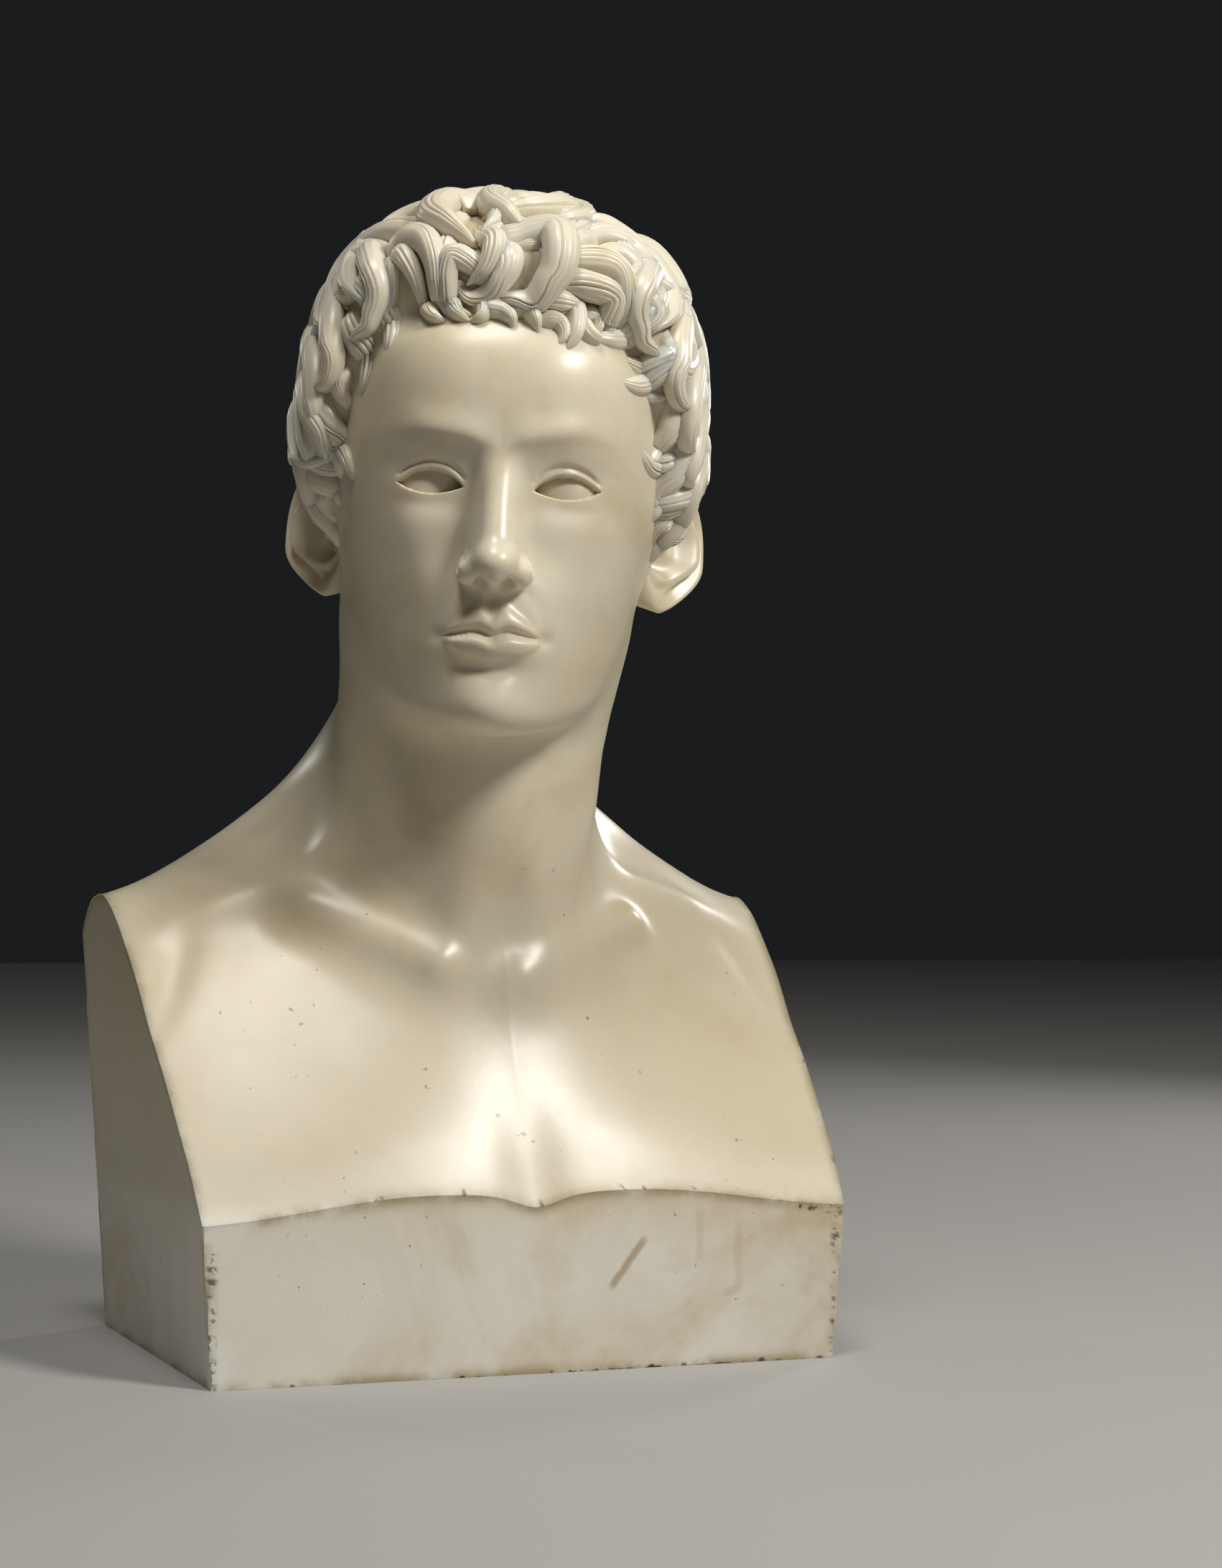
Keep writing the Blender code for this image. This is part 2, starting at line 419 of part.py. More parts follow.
def surface_lines(columns, samples, grow=0.0):
    """Lines from the crown over the head, the neck and the chest to the arris, one a column."""
    deg = math.radians
    stations = [(-deg(180), 1.6), (-deg(60), 1.0), (0, 0.7), (deg(60), 1.0), (deg(180), 1.6)]
    head_az = spread(stations, columns + 1)[:-1]
    corner = math.atan2(HALF_WIDTH, HALF_DEPTH)
    stations = [(-math.pi, 1.5), (0, 1.1), (math.pi, 1.5)]
    for turn in (corner - math.pi, -corner, corner, math.pi - corner):
        stations += [(turn - deg(4), 1.4), (turn, 0.4), (turn + deg(4), 1.4)]
    block_az = spread(sorted(stations), columns + 1)[:-1]
    centre = np.array([0, -HEAD_FORWARD, CHIN_HEIGHT + 0.45 * HEAD_HEIGHT])
    core = np.array([0, 0.04 * HALF_DEPTH, BAND_HEIGHT + 0.39 * CHEST_RISE])
    head_count, neck_count, chest_count = int(samples * 0.46), int(samples * 0.28), int(samples * 0.26)
    # steep under the chin, flatter at the nape, where the shoulders rise
    low = deg(-46) + deg(28) * ease(deg(50), deg(125), np.abs(head_az))
    origins, directions = [], []
    for elevation in np.linspace(0, 1, head_count):
        origins.append(np.tile(centre, (columns, 1)))
        directions.append(ray_direction(head_az + HEAD_TURN, deg(88.5) * (1 - elevation) + low * elevation))
    neck_az = (head_az + HEAD_TURN + block_az) / 2
    for t in np.linspace(0, 1, neck_count + 1)[1:]:
        azimuth = (head_az + HEAD_TURN) * (1 - t) + neck_az * t
        root = np.stack([0 * azimuth, 0 * azimuth, root_height(azimuth)], -1)
        origins.append(centre * (1 - t) + root * t)
        directions.append(ray_direction(azimuth, low + (deg(-10) - low) * ease(0.50, 1.0, t)))
    upper = cast(np.concatenate(origins), np.concatenate(directions), 0.32, flesh).reshape(-1, columns, 3)
    arris = wall_point(block_az, arris_height(block_az, grow), grow)
    origins, directions = [], []
    for t in np.linspace(0, 1, chest_count + 1)[1:]:
        aim = upper[-1] * (1 - t) + arris * t - core
        origins.append(np.tile(core, (columns, 1)))
        directions.append(aim / np.linalg.norm(aim, axis=-1)[:, None])
    chest = cast(np.concatenate(origins), np.concatenate(directions), 0.32, flesh).reshape(-1, columns, 3)
    # places that ran past the block's planes go back onto them
    limit = wall_point(np.arctan2(chest[..., 0], -chest[..., 1]), chest[..., 2], grow)
    share = np.hypot(limit[..., 0], limit[..., 1]) / np.hypot(chest[..., 0], chest[..., 1])
    chest[..., :2] *= np.minimum(1, share)[..., None]
    chest[-1] = arris
    return np.concatenate([upper, chest]), block_az


def share_out(lines, rings, blur=4):
    """The same lines with their points shared out evenly along them, and alike on neighbours."""
    step = np.linalg.norm(np.diff(lines, axis=0), axis=-1)
    step = np.minimum(step, 6 * np.median(step))
    around = np.arange(-3 * blur, 3 * blur + 1)
    share = bell(around, blur) / bell(around, blur).sum()
    step = sum(part * np.roll(step, turn, axis=1) for part, turn in zip(share, around))
    along = np.concatenate([np.zeros((1, lines.shape[1])), np.cumsum(step, axis=0)])
    out = np.empty((rings, lines.shape[1], 3))
    for column in range(lines.shape[1]):
        want = np.linspace(0, along[-1, column], rings)
        for axis in range(3):
            out[:, column, axis] = np.interp(want, along[:, column], lines[:, column, axis])
    return out


def body_rings():
    """The whole figure without ears and locks, a little oversize on the block's planes, which are cut later."""
    lines, block_az = surface_lines(COLUMNS, 3 * RINGS, OVERSIZE)
    top = share_out(lines, RINGS)
    arris = arris_height(block_az, OVERSIZE)
    down = [wall_point(block_az, arris * (1 - t) - OVERSIZE * t, OVERSIZE) for t in np.linspace(0, 1, 12)[1:]]
    return np.concatenate([top, np.array(down)])


# The ears

EAR_BACK = curve([(0, -0.085), (0.25, -0.082), (0.40, -0.060), (0.52, -0.016), (0.60, -0.008), (0.68, -0.018),
                  (0.78, -0.040), (0.85, -0.022), (0.92, 0.0), (0.97, 0.0), (1.0, -0.010)], 0.022)
EAR_LOBE = curve([(0, -0.080), (0.25, -0.070), (0.38, -0.030), (0.50, -0.006), (0.62, -0.022), (0.8, -0.008),
                  (0.95, -0.008), (1.0, -0.018)], 0.025)
EAR_FRONT = curve([(0, -0.085), (0.20, -0.075), (0.32, -0.030), (0.45, 0.010), (0.58, 0.004), (0.75, -0.014),
                   (1.0, -0.045)], 0.03)


def ear_rings(side, around=28, face=14, back=4):
    """Rings from the bowl of the ear out to its rim, and behind it into the head, in metres."""
    angle = np.linspace(0, 2 * math.pi, around, endpoint=False)
    front = bell(np.angle(np.exp(1j * (angle - math.pi))), math.radians(45))
    lobe = bell(np.angle(np.exp(1j * (angle - 1.5 * math.pi))), math.radians(42)) * (1 - front)
    rim = 0.064 + 0.044 * np.cos(angle)
    rings = []
    for s in np.concatenate([np.linspace(0.04, 1, face), np.linspace(1, 2, back + 1)[1:]]):
        inner = min(s, 1.0)
        past = max(0.0, s - 1.0)
        relief = EAR_BACK(inner) * (1 - front - lobe) + EAR_LOBE(inner) * lobe + EAR_FRONT(inner) * front
        reach = inner * (1 - 0.35 * past)
        a = (0.070 + 0.014 * np.sin(angle)) * np.sign(np.cos(angle)) * np.abs(np.cos(angle)) ** 0.85 * reach
        b = 0.136 * np.sin(angle) * reach
        out = rim + relief - 0.012 * min(1.0, past * 3) - 0.12 * past
        lean = math.radians(12)
        rings.append(np.stack([side * (0.322 + out), 0.078 + a * math.cos(lean) + b * math.sin(lean),
                               0.428 + b * math.cos(lean) - a * math.sin(lean)], -1))
    return out_of_head(np.array(rings))


# The hair

def scalp(p):
    """The smooth mass that the locks lie on."""
    x, y, z = p[..., 0], p[..., 1], p[..., 2]
    return (skull_share(x, y, z) - 1) * 0.35 - hair_base_depth(z, over_hairline(x, y, z))


def smooth_route(points, count):
    """Places along a smooth line through the points given."""
    pts = np.array(points, float)
    pts = np.vstack([2 * pts[0] - pts[1], pts, 2 * pts[-1] - pts[-2]])
    t = np.linspace(0, len(points) - 1 - 1e-6, count)
    i, f = t.astype(int), (t % 1)[:, None]
    a, b, c, d = pts[i], pts[i + 1], pts[i + 2], pts[i + 3]
    return 0.5 * (2 * b + (c - a) * f + (2 * a - 5 * b + 4 * c - d) * f ** 2 + (3 * b - a - 3 * c + d) * f ** 3)


def drawn_route(points, count, side=0):
    """A route drawn in the front or a side elevation, as directions from the middle of the hair."""
    route = smooth_route(points, count)
    out = np.zeros((count, 3))
    if side:
        across, away, facing, reach = 1, 0, side, SIDE_ENVELOPE
        out[:, across] = (-route[:, 0] - HAIR_CENTRE[1]) / reach[1]
    else:
        across, away, facing, reach = 0, 1, -1, HAIR_ENVELOPE
        out[:, across] = route[:, 0] / reach[0]
    out[:, 2] = (route[:, 1] - HAIR_CENTRE[2]) / reach[2]
    # what is drawn past the envelope's outline is brought in to just inside it
    out /= np.maximum(1.0, np.linalg.norm(out, axis=-1) / 0.985)[:, None]
    out[:, away] = facing * np.sqrt(1 - out[:, across] ** 2 - out[:, 2] ** 2)
    out *= reach
    return out / np.linalg.norm(out, axis=-1)[:, None]


def grown_routes(start, heading, length, bends, count):
    """Routes over a ball of the hair's size; bends are the turning at the root, the middle and the tip."""
    here, way = start, heading
    out = [here]
    for k in range(1, count):
        s = k / (count - 1)
        bend = np.where(s < 0.5, bends[:, 0] * (1 - 2 * s) + bends[:, 1] * 2 * s,
                        bends[:, 1] * (2 - 2 * s) + bends[:, 2] * (2 * s - 1))
        angle = (bend / (count - 1))[:, None]
        way = way * np.cos(angle) + np.cross(here, way) * np.sin(angle)
        here = here + way * (length / (count - 1) / 0.42)[:, None]
        here /= np.linalg.norm(here, axis=-1, keepdims=True)
        way -= (way * here).sum(-1, keepdims=True) * here
        way /= np.linalg.norm(way, axis=-1, keepdims=True)
        out.append(here)
    return np.stack(out, 1)


def curl_starts(taken):
    """Rows of short curls round the whorl, down to the edge of the hair, lower under the drawn locks."""
    rng = np.random.default_rng(SEED)
    whorl = ray_direction(np.array(WHORL[0]), WHORL[1])
    east = np.cross(whorl, [1.0, 0.0, 0.0])
    east /= np.linalg.norm(east)
    north = np.cross(whorl, east)
    starts, headings, bends, sizes, lengths = [], [], [], [], []
    for row, theta in enumerate(np.arange(math.radians(2), math.radians(150), ROW_PITCH / 0.42)):
        count = max(5, round(2 * math.pi * math.sin(theta) * 0.42 / CURL_SPACING))
        for i in range(count):
            turn = 2 * math.pi * (i + 0.5 * (row % 2) + rng.uniform(-0.18, 0.18)) / count
            out = east * math.cos(turn) + north * math.sin(turn)
            tilt = theta + rng.uniform(-0.03, 0.03)
            here = whorl * math.cos(tilt) + out * math.sin(tilt)
            away = -whorl * math.sin(tilt) + out * math.cos(tilt)
            sign = 1 if (i + row) % 2 == (rng.random() < 0.2) else -1
            hook = rng.random() < 0.45
            swing, wide, rank = rng.uniform(-0.5, 0.5), rng.random(), rng.uniform(0.2, 0.8)
            over = over_hairline(*(HAIR_CENTRE + here * 0.42))
            if over < 0.055:
                continue
            if np.arccos(np.clip(taken @ here, -1, 1)).min() < 0.15:
                # an undercoat for the locks already drawn
                rank -= 0.9
            if row == 0:
                sign, swing, hook = 1, 0.0, True
            length = min(CURL_LENGTH[row % 2], over + 0.115)
            starts.append(here)
            headings.append(away * math.cos(swing) + np.cross(here, away) * math.sin(swing))
            turning = (0.4, 1.8, 4.4) if hook else (-2.4, 1.0, 5.0)
            bends.append([sign * part for part in turning])
            sizes.append(((0.058 + 0.016 * wide) * (length / 0.27) ** 0.5, rank, -0.3 * sign))
            lengths.append(length)
    return np.array(starts), np.array(headings), np.array(lengths), np.array(bends), sizes


def hair_routes(count):
    """Every lock's route, and its width, rank and lean."""
    drawn = [drawn_route(lock[3], count) for lock in FRONT_LOCKS]
    sizes = [lock[:3] for lock in FRONT_LOCKS]
    for side in (-1, 1):
        for width, rank, points in SIDE_LOCKS:
            drawn.append(drawn_route(points, count, side))
            sizes.append((width, rank, 0.2 * side))
    drawn = np.array(drawn)
    start, heading, length, bends, grown_sizes = curl_starts(drawn[:, count // 3::3].reshape(-1, 3))
    grown = grown_routes(start, heading, length, bends, count)
    return np.concatenate([drawn, grown]), np.array(sizes + grown_sizes)


def lock_rings(rings, sides):
    """Flat ribbons that rise from the scalp and curl back to it: places by lock, ring and side, in metres."""
    routes, sizes = hair_routes(rings)
    width, rank, lean = (sizes[:, k, None] for k in range(3))
    height = 0.016 + 0.28 * width
    flat = routes.reshape(-1, 3)
    on = cast(np.tile(HAIR_CENTRE, (len(flat), 1)), flat, 0.8, scalp)
    step = np.eye(3) * 0.002
    normal = np.stack([scalp(on + step[a]) - scalp(on - step[a]) for a in range(3)], -1).reshape(routes.shape)
    normal /= np.linalg.norm(normal, axis=-1, keepdims=True)
    on = on.reshape(routes.shape)
    along = np.gradient(on, axis=1)
    side = np.cross(normal, along)
    side /= np.linalg.norm(side, axis=-1, keepdims=True)
    t = np.linspace(0, 1, rings)[None, :]
    point = np.maximum(1 - t ** 5.0, 0.02) ** 0.7
    half = width / 2 * (0.70 + 0.30 * ease(0, 0.30, t)) * (1 - 0.25 * t) * 1.35 * point
    thick = height * (0.80 + 0.20 * ease(0, 0.30, t)) * np.maximum(1 - t ** 6.0, 0.02) ** 0.6
    lift = height * (-0.60 + 0.75 * ease(0, 0.40, t) + 0.45 * (rank - 0.5) - 0.35 * ease(0.75, 1.0, t))
    angle = (lean * np.sin(math.pi * t))[..., None]
    up = normal * np.cos(angle) + side * np.sin(angle)
    across = side * np.cos(angle) - normal * np.sin(angle)
    turn = np.linspace(0, 2 * math.pi, sides, endpoint=False)
    s = np.cos(turn)
    crown = np.where(np.sin(turn) > 0, (1 - np.abs(s) ** 2.4) ** 0.5, 0.55 * np.sin(turn))
    middle = (on + normal * lift[..., None])[:, :, None, :]
    across_part = across[:, :, None, :] * (half[..., None] * s)[..., None]
    return out_of_head(middle + across_part + up[:, :, None, :] * (thick[..., None] * crown)[..., None])


# Meshes

def add_rings(bm, rings, flip=False):
    """A closed tube of rings with a fan over each end."""
    loops = [[bm.verts.new(p) for p in ring] for ring in rings]
    count = len(loops[0])
    faces = []
    for a, b in zip(loops, loops[1:]):
        faces += [(a[i], b[i], b[(i + 1) % count], a[(i + 1) % count]) for i in range(count)]
    for loop, order in ((loops[0], 1), (loops[-1], -1)):
        middle = bm.verts.new(sum((v.co for v in loop), loop[0].co * 0) / count)
        faces += [(loop[i], loop[(i + 1) % count], middle)[::order] for i in range(count)]
    for face in faces:
        bm.faces.new(face[::-1] if flip else face)


def mesh_object(name, bm):
    mesh = bpy.data.meshes.new(name)
    bm.to_mesh(mesh)
    bm.free()
    obj = bpy.data.objects.new(name, mesh)
    bpy.context.scene.collection.objects.link(obj)
    return obj


def block_cutter():
    """A box with a pocket of the block's own shape: what it takes off leaves the true planes and the underside."""
    bm = bmesh.new()
    far, low = 0.6 * BASE_WIDTH + OVERSIZE * 20, -OVERSIZE * 10
    outer = [[bm.verts.new((sx * far, sy * far, z)) for sx, sy in ((-1, -1), (1, -1), (1, 1), (-1, 1))]
             for z in (low, CUT_TOP)]
    inner = [[bm.verts.new((sx * (HALF_WIDTH + SIDE_FLARE * z), sy * HALF_DEPTH, z))
              for sx, sy in ((-1, -1), (1, -1), (1, 1), (-1, 1))] for z in (0.0, CUT_TOP)]
    bm.faces.new(outer[0][::-1])
    bm.faces.new(inner[0])
    for i in range(4):
        j = (i + 1) % 4
        bm.faces.new((outer[0][i], outer[0][j], outer[1][j], outer[1][i]))
        bm.faces.new((inner[0][j], inner[0][i], inner[1][i], inner[1][j]))
        bm.faces.new((outer[1][i], outer[1][j], inner[1][j], inner[1][i]))
    cutter = mesh_object("block_cutter", bm)
    cutter.hide_render = True
    cutter.display_type = "WIRE"
    return cutter


def fused(obj):
    """The object's forms as one skin: voxels first, then only the largest shell of what they give."""
    remesh = obj.modifiers.new("skin", "REMESH")
    remesh.mode = "VOXEL"
    remesh.voxel_size = VOXEL
    skin = bpy.data.meshes.new_from_object(obj.evaluated_get(bpy.context.evaluated_depsgraph_get()))
    obj.modifiers.clear()
    bm = bmesh.new()
    bm.from_mesh(skin)
    left, shells = set(bm.verts), []
    while left:
        shell, edge = set(), [left.pop()]
        while edge:
            vert = edge.pop()
            shell.add(vert)
            for link in vert.link_edges:
                other = link.other_vert(vert)
                if other in left:
                    left.remove(other)
                    edge.append(other)
        shells.append(shell)
    shells.sort(key=len)
    bmesh.ops.delete(bm, geom=[v for shell in shells[:-1] for v in shell], context="VERTS")
    bm.to_mesh(obj.data)
    bm.free()
    return obj


def marble():
    material = bpy.data.materials.new("white_marble")
    material.use_nodes = True
    shader = material.node_tree.nodes["Principled BSDF"]
    shader.inputs["Base Color"].default_value = (0.74, 0.68, 0.56, 1)
    shader.inputs["Roughness"].default_value = 0.38
    shader.inputs["Metallic"].default_value = 0.0
    return material


def build():
    for obj in list(bpy.data.objects):
        bpy.data.objects.remove(obj)
    bm = bmesh.new()
    add_rings(bm, body_rings())
    for side in (-1, 1):
        add_rings(bm, ear_rings(side), flip=side > 0)
    for lock in lock_rings(LOCK_RINGS, LOCK_SIDES):
        add_rings(bm, lock)
    bmesh.ops.recalc_face_normals(bm, faces=bm.faces)
    bust = fused(mesh_object("marble_bust", bm))
    cut = bust.modifiers.new("planes", "BOOLEAN")
    cut.operation = "DIFFERENCE"
    cut.solver = "EXACT"
    cut.object = block_cutter()
    whole = bust.evaluated_get(bpy.context.evaluated_depsgraph_get()).data
    whole.calc_loop_triangles()
    thin = bust.modifiers.new("facets", "DECIMATE")
    thin.ratio = TRIANGLES / len(whole.loop_triangles)
    bust.data.materials.append(marble())
    return bust


build()
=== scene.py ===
"""The looks of the marble herm bust: its fine carving, worn arrises and old stained stone."""
import math

import bpy
import numpy as np
from mathutils import Matrix, Vector


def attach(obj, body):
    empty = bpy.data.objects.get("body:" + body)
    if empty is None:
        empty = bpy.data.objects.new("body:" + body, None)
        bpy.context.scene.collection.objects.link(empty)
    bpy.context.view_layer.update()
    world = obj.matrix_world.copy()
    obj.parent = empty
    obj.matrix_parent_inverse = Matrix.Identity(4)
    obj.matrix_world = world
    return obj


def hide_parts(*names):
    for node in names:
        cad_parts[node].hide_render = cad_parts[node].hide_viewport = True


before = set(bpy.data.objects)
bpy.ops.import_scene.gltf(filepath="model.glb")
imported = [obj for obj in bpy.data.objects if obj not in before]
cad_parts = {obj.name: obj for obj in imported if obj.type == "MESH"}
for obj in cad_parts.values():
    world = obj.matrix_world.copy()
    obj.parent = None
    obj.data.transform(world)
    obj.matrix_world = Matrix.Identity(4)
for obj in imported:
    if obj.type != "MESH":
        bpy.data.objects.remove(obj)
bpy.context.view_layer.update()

# Driving dimensions, in metres
BASE_WIDTH = 0.300
BASE_DEPTH = 0.196
SIDE_FLARE = 0.075
BAND_HEIGHT = 0.069
SHOULDER_HEIGHT = 0.213
CHIN_HEIGHT = 0.284
HEAD_HEIGHT = 0.236
HEAD_FORWARD = 0.022
NECK_WIDTH = 0.127

# The way the head is held, in radians: turned to its right, tipped a little to its left
HEAD_TURN = math.radians(-20)
HEAD_TIP = math.radians(2)

# Fineness of the carving
COLUMNS = 356
RINGS = 276
WALL_COLUMNS = 900
WALL_RINGS = 96
LOCK_RINGS = 28
STRANDS = 6
STRAND_STEPS = 4
EAR_AROUND, EAR_FACE, EAR_BEHIND = 72, 40, 10
# Shares of the samples down each line that lie on the head, the neck and the chest
SAMPLE_SHARES = (0.60, 0.20, 0.20)
# Columns over which the steps of neighbouring lines are evened, and how often the neck is evened out
LINE_BLUR = 7
SETTLE_PASSES = 6
# How far rays are cast, in metres from inside the stone and in heads from the middle of the hair
CAST_REACH = 0.32
HAIR_REACH = 0.8
# How a skin's last ring is turned in under its neighbour
TURN_IN = np.array([0.985, 0.985, 0.997])
# Points closer than this are one, in metres, and edges sharper than this stay sharp
MERGE_DISTANCE = 0.00002
SMOOTH_ANGLE = math.radians(50)
# Where the front and middle locks end, in heads from the middle of the head
HAIR_PARTS = (-0.06, 0.24)

# Worked out from the driving dimensions
HALF_WIDTH = BASE_WIDTH / 2
HALF_DEPTH = BASE_DEPTH / 2
CHEST_RISE = SHOULDER_HEIGHT - BAND_HEIGHT
NECK_RISE = CHIN_HEIGHT - SHOULDER_HEIGHT
# Azimuths of the block's corners: the right front one, and all four in order
CORNER = math.atan2(HALF_WIDTH, HALF_DEPTH)
CORNERS = (CORNER - math.pi, -CORNER, CORNER, math.pi - CORNER)

# Places on the face, in heads: 0 under the chin, 1 at the crown
EYE_X, EYE_Y, EYE_Z, EYE_HALF = 0.128, -0.302, 0.487, 0.060
MOUTH_Z, MOUTH_HALF = 0.205, 0.100

# The hair: its middle and its outer envelope, in heads, and the whorl that the curls leave from
HAIR_CENTRE = np.array([0.0, 0.02, 0.60])
HAIR_ENVELOPE = np.array([0.450, 0.500, 0.536])
SIDE_ENVELOPE = np.array([0.380, 0.475, 0.460])
SKULL_RADII = (0.338, 0.428, 0.388)
SKULL_POWER = 2.35
SKULL_Y, SKULL_Z = 0.022, 0.612
# Radius of the ball that the curls grow over, in heads
HAIR_BALL = 0.42
WHORL = (math.radians(165), math.radians(58))
ROW_PITCH = 0.088
CURL_SPACING = 0.082
CURL_LENGTH = (0.25, 0.30)
SEED = 4

# The locks over the brow: width, rank, lean, and a route of (across, up) in the front elevation of the head
FRONT_LOCKS = [
    (0.068, 1.1, 0.2, [(0.03, 1.13), (-0.02, 1.1), (-0.04, 1.05), (-0.01, 1.01), (0.03, 0.97)]),
    (0.088, 0.9, -0.2, [(-0.02, 1.12), (-0.08, 1.07), (-0.13, 1.04), (-0.14, 1), (-0.11, 0.97),
        (-0.06, 0.94)]),
    (0.074, 1, 0.2, [(-0.03, 0.97), (0.03, 0.98), (0.08, 0.97), (0.09, 0.92), (0.06, 0.89), (0, 0.88),
        (-0.05, 0.88)]),
    (0.05, 0.6, 0, [(-0.06, 1), (-0.04, 0.96), (-0.03, 0.94), (-0.05, 0.91), (-0.09, 0.89)]),
    (0.05, 0.5, 0.2, [(-0.02, 0.96), (0, 0.93), (-0.02, 0.9), (-0.07, 0.885), (-0.12, 0.895)]),
    (0.038, 0.7, -0.1, [(-0.1, 0.9), (-0.115, 0.87), (-0.105, 0.84), (-0.075, 0.825)]),
    (0.034, 0.6, 0.1, [(-0.06, 0.88), (-0.05, 0.86), (-0.055, 0.835), (-0.085, 0.822)]),
    (0.034, 0.7, -0.1, [(-0.17, 0.87), (-0.165, 0.85), (-0.15, 0.83), (-0.125, 0.822)]),
    (0.044, 1, -0.2, [(-0.04, 0.9), (-0.08, 0.92), (-0.11, 0.92), (-0.12, 0.88), (-0.11, 0.85),
        (-0.07, 0.84)]),
    (0.058, 0.8, 0.2, [(-0.24, 0.93), (-0.21, 0.95), (-0.17, 0.95), (-0.14, 0.92), (-0.14, 0.87),
        (-0.12, 0.83)]),
    (0.054, 0.8, -0.2, [(-0.23, 0.93), (-0.26, 0.95), (-0.29, 0.94), (-0.3, 0.9), (-0.29, 0.86),
        (-0.26, 0.83)]),
    (0.042, 0.4, 0.1, [(-0.23, 0.93), (-0.2, 0.92), (-0.18, 0.89), (-0.18, 0.84)]),
    (0.042, 0.4, -0.1, [(-0.23, 0.92), (-0.25, 0.91), (-0.26, 0.88), (-0.23, 0.84)]),
    (0.06, 0.6, -0.2, [(-0.1, 0.97), (-0.17, 0.99), (-0.23, 0.99), (-0.3, 0.96), (-0.33, 0.92),
        (-0.34, 0.87), (-0.31, 0.83)]),
    (0.06, 0.5, -0.2, [(-0.1, 1.08), (-0.14, 1.06), (-0.2, 1.04), (-0.24, 1.01), (-0.26, 0.97)]),
    (0.055, 0.3, -0.2, [(-0.15, 1.1), (-0.21, 1.06), (-0.26, 1.02), (-0.3, 0.98), (-0.32, 0.94)]),
    (0.038, 0.7, 0.2, [(-0.07, 0.88), (-0.05, 0.86), (-0.01, 0.85), (0.01, 0.83), (0.01, 0.81)]),
    (0.042, 0.8, 0.2, [(-0.03, 0.87), (0, 0.86), (0.04, 0.86), (0.06, 0.83), (0.07, 0.8)]),
    (0.052, 1, 0.3, [(0.04, 0.85), (0.07, 0.88), (0.12, 0.88), (0.14, 0.85), (0.14, 0.8), (0.12, 0.76)]),
    (0.036, 0.6, 0.2, [(0.05, 0.85), (0.08, 0.84), (0.11, 0.83), (0.12, 0.8), (0.1, 0.77)]),
    (0.056, 0.8, 0.3, [(0.09, 0.9), (0.14, 0.9), (0.2, 0.88), (0.21, 0.84), (0.21, 0.8)]),
    (0.04, 0.6, 0.2, [(0.13, 0.87), (0.17, 0.86), (0.19, 0.84), (0.18, 0.8)]),
    (0.034, 1, 0.2, [(0.12, 0.88), (0.15, 0.84), (0.17, 0.81), (0.19, 0.8), (0.2, 0.81)]),
    (0.058, 0.8, 0.3, [(0.01, 1.06), (0.06, 1.09), (0.12, 1.08), (0.14, 1.04), (0.1, 1.01), (0.06, 1.02)]),
    (0.05, 0.3, 0.3, [(0.03, 1.03), (0.07, 1.05), (0.1, 1.04), (0.09, 1.01)]),
    (0.06, 0.6, 0.3, [(0.11, 1), (0.17, 1), (0.23, 0.97), (0.26, 0.92), (0.24, 0.88)]),
    (0.045, 0.5, 0.3, [(0.15, 0.95), (0.2, 0.95), (0.23, 0.92), (0.21, 0.89)]),
    (0.06, 0.5, 0.2, [(0.1, 0.94), (0.15, 0.93), (0.2, 0.91), (0.23, 0.87), (0.23, 0.83)]),
    (0.056, 0.6, 0.3, [(0.18, 1.03), (0.23, 1), (0.28, 0.95), (0.31, 0.9), (0.31, 0.85), (0.28, 0.81)]),
    (0.044, 0.6, 0.3, [(0.24, 0.9), (0.26, 0.87), (0.28, 0.84), (0.26, 0.81)]),
    (0.055, 0.4, 0.3, [(0.1, 1.09), (0.16, 1.06), (0.21, 1.03), (0.25, 0.99), (0.24, 0.95)]),
    (0.052, 0.7, 0.2, [(0.27, 0.96), (0.32, 0.92), (0.34, 0.86), (0.34, 0.81), (0.3, 0.79)]),
    (0.052, 0.7, -0.2, [(-0.3, 0.95), (-0.34, 0.91), (-0.36, 0.85), (-0.35, 0.81), (-0.31, 0.78)]),
]

